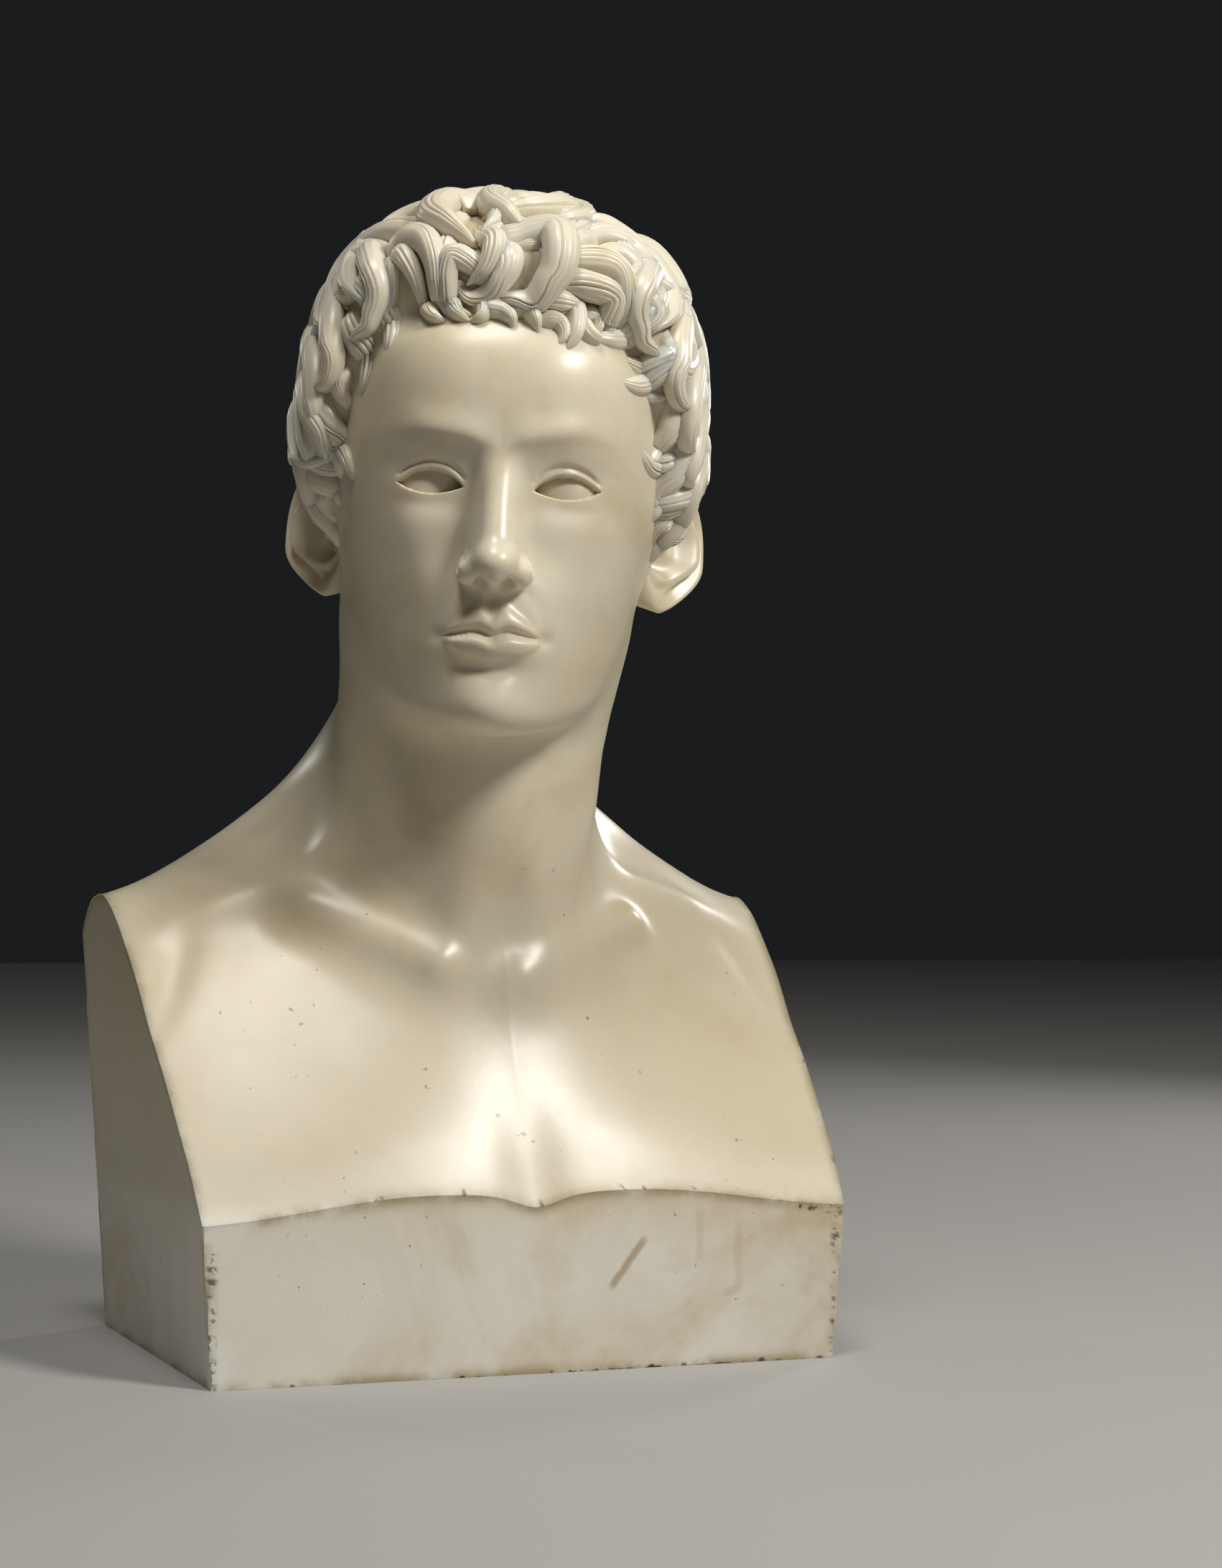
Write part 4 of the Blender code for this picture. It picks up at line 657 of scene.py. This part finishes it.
def arris_nearness(rings, top, on_planes):
    """1 on the block's arrises, fading out; top is the place of the upper arris in each column."""
    x, y, z = rings[..., 0], rings[..., 1], rings[..., 2]
    near = np.linalg.norm(rings - top, axis=-1)
    if on_planes:
        side = np.abs(HALF_WIDTH + SIDE_FLARE * z - np.abs(x))
        end = np.abs(HALF_DEPTH - np.abs(y))
        near = np.minimum(near, np.minimum(np.hypot(side, end), np.hypot(z, np.minimum(side, end))))
    return bell(near, ARRIS_FADE)


# The ears

EAR_BACK = curve([(0, -0.085), (0.25, -0.082), (0.40, -0.060), (0.52, -0.016), (0.60, -0.008), (0.68, -0.018),
                  (0.78, -0.040), (0.85, -0.022), (0.92, 0.0), (0.97, 0.0), (1.0, -0.010)], 0.022)
EAR_LOBE = curve([(0, -0.080), (0.25, -0.070), (0.38, -0.030), (0.50, -0.006), (0.62, -0.022), (0.8, -0.008),
                  (0.95, -0.008), (1.0, -0.018)], 0.025)
EAR_FRONT = curve([(0, -0.085), (0.20, -0.075), (0.32, -0.030), (0.45, 0.010), (0.58, 0.004), (0.75, -0.014),
                   (1.0, -0.045)], 0.03)


def ear_rings(side):
    """Rings from the bowl of the ear out to its rim, and behind it into the head, in metres."""
    angle = np.linspace(0, 2 * math.pi, EAR_AROUND, endpoint=False)
    front = bell(np.angle(np.exp(1j * (angle - math.pi))), math.radians(45))
    lobe = bell(np.angle(np.exp(1j * (angle - 1.5 * math.pi))), math.radians(42)) * (1 - front)
    rim = 0.064 + 0.044 * np.cos(angle) - 0.038 * ease(0.1, 1.0, -np.sin(angle))
    rings = []
    for s in np.concatenate([np.linspace(0, 1, EAR_FACE), np.linspace(1, 2, EAR_BEHIND + 1)[1:]]):
        inner = min(s, 1.0)
        past = max(0.0, s - 1.0)
        relief = EAR_BACK(inner) * (1 - front - lobe) + EAR_LOBE(inner) * lobe + EAR_FRONT(inner) * front
        reach = inner * (1 - 0.35 * past)
        a = (0.070 + 0.014 * np.sin(angle)) * np.sign(np.cos(angle)) * np.abs(np.cos(angle)) ** 0.85 * reach
        b = 0.136 * np.sign(np.sin(angle)) * np.abs(np.sin(angle)) ** 0.85 * reach
        b *= 1 - 0.30 * ease(0.15, -0.8, np.cos(angle)) * (np.sin(angle) < 0)
        out = rim + relief - 0.012 * min(1.0, past * 3) - 0.12 * past
        lean = math.radians(12)
        rings.append(np.stack([side * (0.322 + out), 0.078 + a * math.cos(lean) + b * math.sin(lean),
                               0.428 + b * math.cos(lean) - a * math.sin(lean)], -1))
    return out_of_head(np.array(rings))


# The hair

def scalp_at(p):
    return scalp(p[..., 0], p[..., 1], p[..., 2])


def smooth_route(points, count):
    """Places along a smooth line through the points given."""
    pts = np.array(points, float)
    pts = np.vstack([2 * pts[0] - pts[1], pts, 2 * pts[-1] - pts[-2]])
    t = np.linspace(0, len(points) - 1 - 1e-6, count)
    i, f = t.astype(int), (t % 1)[:, None]
    a, b, c, d = pts[i], pts[i + 1], pts[i + 2], pts[i + 3]
    square, cube = (2 * a - 5 * b + 4 * c - d) * f ** 2, (3 * b - a - 3 * c + d) * f ** 3
    return 0.5 * (2 * b + (c - a) * f + square + cube)


def drawn_route(points, count, side=0):
    """A route drawn in the front or a side elevation, as directions from the middle of the hair."""
    route = smooth_route(points, count)
    out = np.zeros((count, 3))
    if side:
        across, away, facing, reach = 1, 0, side, SIDE_ENVELOPE
        out[:, across] = (-route[:, 0] - HAIR_CENTRE[1]) / reach[1]
    else:
        across, away, facing, reach = 0, 1, -1, HAIR_ENVELOPE
        out[:, across] = route[:, 0] / reach[0]
    out[:, 2] = (route[:, 1] - HAIR_CENTRE[2]) / reach[2]
    # what is drawn past the envelope's outline is brought in to just inside it
    out /= np.maximum(1.0, np.linalg.norm(out, axis=-1) / 0.985)[:, None]
    out[:, away] = facing * np.sqrt(1 - out[:, across] ** 2 - out[:, 2] ** 2)
    out *= reach
    return out / np.linalg.norm(out, axis=-1)[:, None]


def grown_routes(start, heading, length, bends, count):
    """Routes over a ball of the hair's size; bends are the turning at the root, the middle and the tip."""
    here, way = start, heading
    out = [here]
    for k in range(1, count):
        s = k / (count - 1)
        bend = np.where(s < 0.5, bends[:, 0] * (1 - 2 * s) + bends[:, 1] * 2 * s,
                        bends[:, 1] * (2 - 2 * s) + bends[:, 2] * (2 * s - 1))
        angle = (bend / (count - 1))[:, None]
        way = way * np.cos(angle) + np.cross(here, way) * np.sin(angle)
        here = here + way * (length / (count - 1) / HAIR_BALL)[:, None]
        here /= np.linalg.norm(here, axis=-1, keepdims=True)
        way -= (way * here).sum(-1, keepdims=True) * here
        way /= np.linalg.norm(way, axis=-1, keepdims=True)
        out.append(here)
    return np.stack(out, 1)


def curl_starts(taken):
    """Rows of short curls round the whorl, down to the edge of the hair, lower under the drawn locks."""
    rng = np.random.default_rng(SEED)
    whorl = ray_direction(np.array(WHORL[0]), WHORL[1])
    east = np.cross(whorl, [1.0, 0.0, 0.0])
    east /= np.linalg.norm(east)
    north = np.cross(whorl, east)
    starts, headings, bends, sizes, lengths = [], [], [], [], []
    for row, theta in enumerate(np.arange(math.radians(2), math.radians(150), ROW_PITCH / HAIR_BALL)):
        count = max(5, round(2 * math.pi * math.sin(theta) * HAIR_BALL / CURL_SPACING))
        for i in range(count):
            turn = 2 * math.pi * (i + 0.5 * (row % 2) + rng.uniform(-0.18, 0.18)) / count
            out = east * math.cos(turn) + north * math.sin(turn)
            tilt = theta + rng.uniform(-0.03, 0.03)
            here = whorl * math.cos(tilt) + out * math.sin(tilt)
            away = -whorl * math.sin(tilt) + out * math.cos(tilt)
            sign = 1 if (i + row) % 2 == (rng.random() < 0.2) else -1
            hook = rng.random() < 0.45
            swing, wide, rank = rng.uniform(-0.5, 0.5), rng.random(), rng.uniform(0.2, 0.8)
            over = over_hairline(*(HAIR_CENTRE + here * HAIR_BALL))
            if over < 0.055:
                continue
            if np.arccos(np.clip(taken @ here, -1, 1)).min() < 0.15:
                # an undercoat for the locks already drawn
                rank -= 0.9
            if row == 0:
                sign, swing, hook = 1, 0.0, True
            length = min(CURL_LENGTH[row % 2], over + (0.115 if rank > 0 else 0.05))
            starts.append(here)
            headings.append(away * math.cos(swing) + np.cross(here, away) * math.sin(swing))
            turning = (0.4, 1.8, 4.4) if hook else (-2.4, 1.0, 5.0)
            bends.append([sign * part for part in turning])
            sizes.append(((0.058 + 0.016 * wide) * (length / 0.27) ** 0.5, rank, -0.3 * sign))
            lengths.append(length)
    return np.array(starts), np.array(headings), np.array(lengths), np.array(bends), sizes


def hair_routes(count):
    """Every lock's route, and its width, rank and lean."""
    drawn = [drawn_route(lock[3], count) for lock in FRONT_LOCKS]
    sizes = [lock[:3] for lock in FRONT_LOCKS]
    for side in (-1, 1):
        for width, rank, points in SIDE_LOCKS:
            drawn.append(drawn_route(points, count, side))
            sizes.append((width, rank, 0.2 * side))
    drawn = np.array(drawn)
    start, heading, length, bends, grown_sizes = curl_starts(drawn[:, count // 3::3].reshape(-1, 3))
    grown = grown_routes(start, heading, length, bends, count)
    return np.concatenate([drawn, grown]), np.array(sizes + grown_sizes)


def lock_rings():
    """Flat ribbons of strands: places by lock, ring and side, in metres, and how hollow each lies, which is
    painted as dirt and painted shade.
    """
    rng = np.random.default_rng(SEED)
    routes, sizes = hair_routes(LOCK_RINGS)
    width, rank, lean = (sizes[:, k, None] for k in range(3))
    height = 0.015 + 0.33 * width
    flat = routes.reshape(-1, 3)
    on = cast(np.tile(HAIR_CENTRE, (len(flat), 1)), flat, HAIR_REACH, scalp_at)
    step = np.eye(3) * 0.002
    slope = [scalp_at(on + step[a]) - scalp_at(on - step[a]) for a in range(3)]
    normal = np.stack(slope, -1).reshape(routes.shape)
    normal /= np.linalg.norm(normal, axis=-1, keepdims=True)
    on = on.reshape(routes.shape)
    along = np.gradient(on, axis=1)
    side = np.cross(normal, along)
    side /= np.linalg.norm(side, axis=-1, keepdims=True)
    t = np.linspace(0, 1, LOCK_RINGS)[None, :]
    point = (1 - t ** 2.8) ** 0.80
    half = width / 2 * (0.70 + 0.30 * ease(0, 0.30, t)) * (1 - 0.25 * t) * 1.28 * point
    thick = height * (0.80 + 0.20 * ease(0, 0.30, t)) * (1 - t ** 6.0) ** 0.6
    lift = height * (-0.60 + 0.75 * ease(0, 0.40, t) + 0.45 * (rank - 0.5) - 0.35 * ease(0.75, 1.0, t))
    angle = (lean * np.sin(math.pi * t))[..., None]
    up = normal * np.cos(angle) + side * np.sin(angle)
    across = side * np.cos(angle) - normal * np.sin(angle)
    # the upper side is a row of strands of uneven breadth and depth, and the lower side is plain
    count, steps = len(routes), STRANDS * STRAND_STEPS
    place = np.arange(steps + 1)
    breadth = np.repeat(rng.uniform(0.5, 1.5, (count, STRANDS)), STRAND_STEPS, axis=1)
    s = np.concatenate([np.zeros((count, 1)), np.cumsum(breadth, axis=1)], axis=1)
    s = (1 - 2 * s / s[:, -1:])[:, None, :]
    drift = 0.10 * np.sin(2 * math.pi * 0.8 * t[..., None] + rng.uniform(0, 6.28, (count, 1, 1)))
    s = s + drift * (1 - s ** 2)
    edge = 1 - np.abs(np.sin(math.pi * place / STRAND_STEPS)) ** 0.55
    groove = (place + STRAND_STEPS // 2) // STRAND_STEPS
    deep = (0.05 + 0.24 * rng.random((count, STRANDS + 1)) ** 2)[:, groove][:, None, :]
    come = rng.uniform(0, 6.28, (count, STRANDS + 1))[:, groove][:, None, :]
    deep = deep * (0.65 + 0.35 * np.sin(5.0 * t[..., None] + come)) * ease(1.0, 0.9, t)[..., None]
    crown = np.clip(1 - np.abs(s) ** 2.4, 0, 1) ** 0.5 * (1 - deep * edge)
    low = np.array([-0.75, -0.25, 0.25, 0.75])
    below = -0.55 * (1 - np.abs(low) ** 3)
    s = np.concatenate([s, np.broadcast_to(low, s.shape[:2] + (4,))], -1)
    crown = np.concatenate([crown, np.broadcast_to(below, crown.shape[:2] + (4,))], -1)
    middle = (on + normal * lift[..., None])[:, :, None, :]
    across_part = across[:, :, None, :] * (half[..., None] * s)[..., None]
    rings = middle + across_part + up[:, :, None, :] * (thick[..., None] * crown)[..., None]
    # how hollow each place lies, for dirt and painted shade: deepest in the grooves between strands, over the
    # plain lower side and near the root
    hollow = 1.3 * deep * edge + 0.55 * np.abs(1 - 2 * place / steps) ** 6
    hollow = np.concatenate([hollow, np.ones(hollow.shape[:2] + (4,))], -1)
    hollow = np.maximum(hollow, ease(0.16, 0.0, t)[..., None])
    return out_of_head(rings), np.clip(hollow, 0, 1)


# Pieces: each starts as a grid, is wrapped into a tube of rings, and has its seam and ends merged

def wrapped(name, rings, shades, flip=False):
    """A grid whose places become the rings, with an amount for each place under each name in shades."""
    count, around = rings.shape[:2]
    bpy.ops.mesh.primitive_grid_add(x_subdivisions=around, y_subdivisions=count - 1, size=1)
    piece = bpy.context.object
    piece.name = name
    order = np.append(np.arange(around), 0)[::-1 if flip else 1]
    piece.data.vertices.foreach_set("co", rings[:, order].astype(np.float32).ravel())
    for shade, amounts in shades.items():
        layer = piece.data.attributes.new(shade, "FLOAT", "POINT")
        layer.data.foreach_set("value", amounts[:, order].astype(np.float32).ravel())
    return piece


def finished(pieces, name, material):
    """The pieces as one object: joined, with doubles merged, its faces outward and smooth."""
    bpy.ops.object.select_all(action="DESELECT")
    for piece in pieces:
        piece.select_set(True)
    bpy.context.view_layer.objects.active = pieces[0]
    if len(pieces) > 1:
        bpy.ops.object.join()
    piece = bpy.context.view_layer.objects.active
    piece.name = name
    piece.data.name = name
    bpy.ops.object.mode_set(mode="EDIT")
    bpy.ops.mesh.select_all(action="SELECT")
    bpy.ops.mesh.remove_doubles(threshold=MERGE_DISTANCE)
    bpy.ops.mesh.normals_make_consistent(inside=False)
    bpy.ops.object.mode_set(mode="OBJECT")
    bpy.ops.object.shade_smooth_by_angle(angle=SMOOTH_ANGLE)
    piece.data.materials.append(material)
    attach(piece, "root")
    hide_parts("marble_bust")
    piece.select_set(False)


def make_body(material):
    """The figure, and the block's upright planes under it."""
    for name, rings, on_planes in (("bust_body", body_rings(), False), ("bust_block", wall_rings(), True)):
        top = rings[1] if on_planes else rings[-2]
        arris = arris_nearness(rings, top, on_planes)
        rings, fresh = chipped(rings)
        hx, hy, hz = into_head(rings)
        # the head under the hair takes dirt and painted shade through the hollow amount
        under_hair = ease(0.0, 0.05, over_hairline(hx, hy, hz)) * (hz > 0.1)
        shades = {"hollow": under_hair, "arris": arris, "nick": fresh}
        finished([wrapped("body", rings, shades)], name, material)


def make_ears(material):
    ears = []
    for side in (-1, 1):
        rings = ear_rings(side)
        ears.append(wrapped("ear", rings, {}, flip=side > 0))
    finished(ears, "bust_ears", material)


def make_hair(material):
    """The locks in a front, a middle and a back piece, parted by how far back they start."""
    locks, hollow = lock_rings()
    hy = into_head(locks[:, 0, 0])[1]
    parts = (("hair_front", hy < HAIR_PARTS[0]),
             ("hair_middle", (hy >= HAIR_PARTS[0]) & (hy < HAIR_PARTS[1])),
             ("hair_back", hy >= HAIR_PARTS[1]))
    for name, here in parts:
        pieces = []
        for rings, shade in zip(locks[here], hollow[here]):
            rings = rings.copy()
            rings[0] = rings[0].mean(0)
            rings[-1] = rings[-1].mean(0)
            pieces.append(wrapped("lock", rings, {"hollow": shade, "lock": np.ones_like(shade)}))
        finished(pieces, name, material)


# The marble

class Amount:
    """A number that varies over the surface; sums on it add Math nodes."""

    def __init__(self, paint, socket):
        self.paint = paint
        self.socket = socket

    def __add__(self, other):
        return self.paint.maths("ADD", self, other)

    __radd__ = __add__

    def __sub__(self, other):
        return self.paint.maths("SUBTRACT", self, other)

    def __mul__(self, other):
        return self.paint.maths("MULTIPLY", self, other)

    __rmul__ = __mul__


class Paint:
    """The nodes of one material."""

    def __init__(self, name):
        self.material = bpy.data.materials.new(name)
        self.material.use_nodes = True
        self.tree = self.material.node_tree
        self.shader = self.tree.nodes["Principled BSDF"]

    def plug(self, socket, value):
        if isinstance(value, Amount):
            self.tree.links.new(value.socket, socket)
        else:
            socket.default_value = value

    def node(self, kind, settings=(), sockets=(), out=0):
        node = self.tree.nodes.new(kind)
        for name, value in dict(settings).items():
            setattr(node, name, value)
        for key, value in dict(sockets).items():
            self.plug(node.inputs[key], value)
        return Amount(self, node.outputs[out])

    def maths(self, operation, a, b):
        return self.node("ShaderNodeMath", {"operation": operation}, {0: a, 1: b})

    def between(self, value, low, high):
        """0 below low, 1 above high, smooth between; the other way round where low is the larger."""
        flip = low > high
        settings = {"interpolation_type": "SMOOTHSTEP"}
        ends = (0.0, 1.0) if not flip else (1.0, 0.0)
        return self.node("ShaderNodeMapRange", settings,
                         {"Value": value, "From Min": min(low, high), "From Max": max(low, high),
                          "To Min": ends[0], "To Max": ends[1]})

    def mix(self, share, a, b):
        return self.node("ShaderNodeMix", {"data_type": "RGBA", "blend_type": "MIX"},
                         {0: share, 6: a, 7: b}, out=2)

    def noise(self, where, scale, detail=3.0, rough=0.5, warp=0.0):
        return self.node("ShaderNodeTexNoise", {}, {"Vector": where, "Scale": scale, "Detail": detail,
                                                    "Roughness": rough, "Distortion": warp})


def colour(red, green, blue):
    return (red, green, blue, 1.0)


# Stains on the front of the block, in metres: (across, up) at each end
SLANT_STAIN = ((0.0535, 0.0592), (0.0371, 0.0376))
DRIPS = (((0.0810, 0.072), (0.0812, 0.047)), ((0.1005, 0.066), (0.1009, 0.033)),
         ((0.1012, 0.034), (0.0935, 0.033)))
BLACK_CRACK = ((0.1290, 0.0712), (0.1500, 0.0700))


def streak(paint, x, z, ends, half_width):
    """1 along a straight mark between two ends, fading over its half width."""
    (x0, z0), (x1, z1) = ends
    length = math.hypot(x1 - x0, z1 - z0)
    dx, dz = (x1 - x0) / length, (z1 - z0) / length
    along = (x - x0) * dx + (z - z0) * dz
    across = paint.maths("ABSOLUTE", (x - x0) * dz - (z - z0) * dx, 0.0)
    past = paint.maths("ABSOLUTE", along - length / 2, 0.0)
    within = paint.between(past, length / 2 + half_width, length / 2 - half_width)
    return paint.between(across, half_width, 0.3 * half_width) * within


# Colours of the stone and of what lies on it
WARM_WHITE = colour(0.77, 0.705, 0.555)
CREAM = colour(0.70, 0.61, 0.43)
WHITE_FOOT = colour(0.83, 0.80, 0.72)
GREY_VEIN = colour(0.56, 0.52, 0.44)
HONEY = colour(0.60, 0.46, 0.26)
CHEST_TONE = colour(0.60, 0.515, 0.36)
# darker brown for the right end of the front: painted shade where the light falls off, with brown stain
RIGHT_END_SHADE_AND_STAIN = colour(0.46, 0.36, 0.20)
HAIR_WHITE = colour(0.79, 0.75, 0.655)
# dark brown for dirt and painted shade in the hair's hollows
HAIR_DIRT_AND_SHADE = colour(0.32, 0.25, 0.15)
ARRIS_BROWN = colour(0.37, 0.27, 0.13)
FRESH_WHITE = colour(0.86, 0.85, 0.81)
STAIN_BROWN = colour(0.40, 0.27, 0.12)
DRIP_BROWN = colour(0.50, 0.37, 0.19)
BLACK_DIRT = colour(0.075, 0.058, 0.036)
SPECK_BROWN = colour(0.20, 0.15, 0.09)


def marble():
    paint = Paint("white_marble")
    where = paint.node("ShaderNodeTexCoord", out=3)
    split = paint.tree.nodes.new("ShaderNodeSeparateXYZ")
    paint.tree.links.new(where.socket, split.inputs[0])
    x, y, z = (Amount(paint, split.outputs[k]) for k in range(3))
    hollow, arris, nick, lock = (paint.node("ShaderNodeAttribute", {"attribute_name": name}, out=2)
                                 for name in ("hollow", "arris", "nick", "lock"))

    # the stone: warm white with soft clouds, and faint grey veins
    clouds = paint.between(paint.noise(where, 7.0, 4.0, 0.55, 0.6), 0.34, 0.70)
    stone = paint.mix(clouds, WARM_WHITE, CREAM)
    whiter = paint.between(z, 0.110, 0.040)
    stone = paint.mix(whiter * 0.80, stone, WHITE_FOOT)
    vein = paint.noise(where, 5.0, 6.0, 0.62, 1.6)
    vein = paint.between(paint.maths("ABSOLUTE", vein - 0.5, 0.0), 0.060, 0.0)
    stone = paint.mix(vein * 0.12, stone, GREY_VEIN)

    # honey stains in broad patches, with a finer mottle inside them
    patch = paint.between(paint.noise(where, 9.0, 5.0, 0.62, 0.9), 0.47, 0.69)
    mottle = paint.between(paint.noise(where, 42.0, 4.0, 0.6, 0.4), 0.30, 0.75)
    stone = paint.mix(patch * (0.34 + 0.36 * mottle), stone, HONEY)
    # the chest, from the band up to the neck, darker and browner all over
    chest = paint.between(z, 0.25, 0.20) * paint.between(z, 0.070, 0.084)
    stone = paint.mix(chest * 0.50, stone, CHEST_TONE)
    # the right end of the front darker and browner: painted shade where the light falls off, mottled as a
    # brown stain
    right_end = paint.between(x, 0.085, 0.150) * paint.between(y, -0.090, -0.097)
    stone = paint.mix(right_end * (0.15 + 0.35 * mottle), stone, RIGHT_END_SHADE_AND_STAIN)

    # the hair's whiter stone with dirt and painted shade in its hollows, and brown wear along the arrises
    grime = paint.noise(where, 60.0, 4.0, 0.6)
    stone = paint.mix(lock * 0.50, stone, HAIR_WHITE)
    # dirt and painted shade where the surface lies hollow: the locks' grooves and undersides and the head
    # beneath them
    dirt_and_shade = hollow * hollow * paint.between(grime, 0.10, 0.70)
    stone = paint.mix(dirt_and_shade * 0.62, stone, HAIR_DIRT_AND_SHADE)
    rubbed = arris * paint.between(paint.noise(where, 34.0, 4.0, 0.65), 0.34, 0.58)
    stone = paint.mix(rubbed * 0.80, stone, ARRIS_BROWN)
    # fresh white breaks at the foot of the left front corner
    fresh = paint.between(z, 0.034, 0.006) * paint.between(x, -0.1370, -0.1480)
    fresh = fresh * paint.between(y, -0.080, -0.096) * paint.between(grime, 0.40, 0.56)
    stone = paint.mix(fresh * 0.8, stone, FRESH_WHITE)

    # the old stains on the front of the block: a slanting one, drips, and black dirt at the band's end
    wander = (paint.noise(where, 120.0, 3.0, 0.6) - 0.5) * 0.0028
    on_front = paint.between(y, -0.0940, -0.0970)
    slant = streak(paint, x + wander, z, SLANT_STAIN, 0.0026)
    stone = paint.mix(slant * on_front * 0.66, stone, STAIN_BROWN)
    for ends in DRIPS:
        drip = streak(paint, x + wander, z, ends, 0.0030)
        stone = paint.mix(drip * on_front * 0.24, stone, DRIP_BROWN)
    crumbs = paint.between(paint.noise(where, 210.0, 4.0, 0.7), 0.52, 0.60)
    crack = streak(paint, x, z + wander, BLACK_CRACK, 0.0026) * crumbs * paint.between(y, -0.0880, -0.0950)
    knocked = nick * paint.between(paint.noise(where, 170.0, 3.0, 0.6), 0.46, 0.56)
    black = paint.maths("MAXIMUM", crack, knocked * 0.80)
    stone = paint.mix(black, stone, BLACK_DIRT)

    # small dark specks on the chest and the block
    speck = paint.between(paint.noise(where, 230.0, 2.0, 0.5), 0.715, 0.745)
    speck = speck * paint.between(paint.noise(where, 16.0, 2.0, 0.5), 0.52, 0.60)
    speck = speck * paint.between(z, 0.26, 0.23)
    stone = paint.mix(speck * 0.70, stone, SPECK_BROWN)

    paint.plug(paint.shader.inputs["Base Color"], stone)
    polish = paint.noise(where, 22.0, 4.0, 0.6)
    rough = 0.27 + 0.12 * polish + 0.30 * dirt_and_shade + 0.14 * whiter + 0.35 * black
    paint.plug(paint.shader.inputs["Roughness"], rough)
    height = 0.6 * paint.noise(where, 90.0, 4.0, 0.55) + 0.4 * paint.noise(where, 260.0, 2.0, 0.6)
    height = height - 1.5 * black
    bump = paint.node("ShaderNodeBump", {}, {"Strength": 0.12, "Distance": 0.0006, "Height": height})
    paint.plug(paint.shader.inputs["Normal"], bump)
    paint.plug(paint.shader.inputs["Subsurface Weight"], 0.42)
    paint.plug(paint.shader.inputs["Subsurface Radius"], (0.9, 0.62, 0.30))
    paint.plug(paint.shader.inputs["Subsurface Scale"], 0.006)
    return paint.material


# The room: floor, light and camera

FLOOR_SIZE = 8
FLOOR_TONE = (0.42, 0.41, 0.39)
FLOOR_ROUGHNESS = 0.8
WORLD_TONE = (0.72, 0.76, 0.82)
WORLD_STRENGTH = 0.015
# Lamps: name, place, target, size, power and tint
LAMPS = [
    ("key", (0.80, -1.42, 1.62), (0.0, -0.03, 0.32), 0.42, 31, (1.0, 0.985, 0.95)),
    ("overhead", (-0.38, -0.60, 2.05), (0.0, -0.03, 0.32), 0.50, 16, (1.0, 0.985, 0.95)),
    ("rim_left", (-0.75, 1.55, 1.05), (0.0, 0.0, 0.46), 0.25, 2, (1.0, 0.98, 0.95)),
    ("rim_right", (1.40, 0.95, 0.85), (0.0, 0.0, 0.42), 0.25, 5, (1.0, 0.98, 0.95)),
]


def plain(name, tone, rough):
    paint = Paint(name)
    paint.plug(paint.shader.inputs["Base Color"], colour(*tone))
    paint.plug(paint.shader.inputs["Roughness"], rough)
    return paint.material


def make_floor():
    bpy.ops.mesh.primitive_plane_add(size=FLOOR_SIZE, location=(0, 0, 0))
    floor = bpy.context.object
    floor.name = "floor"
    floor.data.materials.append(plain("pale_floor", FLOOR_TONE, FLOOR_ROUGHNESS))


def make_light(name, place, target, size, power, tint):
    bpy.ops.object.light_add(type="AREA", location=place)
    lamp = bpy.context.object
    lamp.name = name
    lamp.data.size = size
    lamp.data.energy = power
    lamp.data.color = tint
    lamp.rotation_euler = (Vector(target) - Vector(place)).to_track_quat("-Z", "Y").to_euler()


def make_world(tone, strength):
    world = bpy.data.worlds.new("room")
    bpy.context.scene.world = world
    world.use_nodes = True
    back = world.node_tree.nodes["Background"]
    back.inputs["Color"].default_value = colour(*tone)
    back.inputs["Strength"].default_value = strength


# The camera as the photograph was taken, in metres and radians, with the lens in millimetres
CAMERA_TURN = 0.39073
CAMERA_DIP = -0.012751
CAMERA_ROLL = 0.013909
CAMERA_DISTANCE = 1.55476
CAMERA_AIM = (0.068282, -0.011744, 0.28)
CAMERA_LENS = 74.2


def make_camera():
    forward = np.array([math.sin(CAMERA_TURN) * math.cos(CAMERA_DIP),
                        math.cos(CAMERA_TURN) * math.cos(CAMERA_DIP), -math.sin(CAMERA_DIP)])
    right = np.array([math.cos(CAMERA_TURN), -math.sin(CAMERA_TURN), 0.0])
    up = np.cross(right, forward)
    aim = np.array([0, 0, CAMERA_AIM[2]]) + right * CAMERA_AIM[0] + up * CAMERA_AIM[1]
    place = aim - forward * CAMERA_DISTANCE
    level, rise = math.cos(CAMERA_ROLL), math.sin(CAMERA_ROLL)
    across, above = right * level + up * rise, up * level - right * rise
    bpy.ops.object.camera_add(location=place)
    camera = bpy.context.object
    rows = [[across[k], above[k], -forward[k], place[k]] for k in range(3)]
    camera.matrix_world = Matrix(rows + [[0, 0, 0, 1]])
    camera.data.sensor_width = 36
    camera.data.lens = CAMERA_LENS
    bpy.context.scene.camera = camera


def make_scene():
    bpy.ops.object.select_all(action="DESELECT")
    make_camera()
    stone = marble()
    make_body(stone)
    make_ears(stone)
    make_hair(stone)
    make_floor()
    for lamp in LAMPS:
        make_light(*lamp)
    make_world(WORLD_TONE, WORLD_STRENGTH)
    bpy.context.scene.view_settings.view_transform = "Standard"


make_scene()
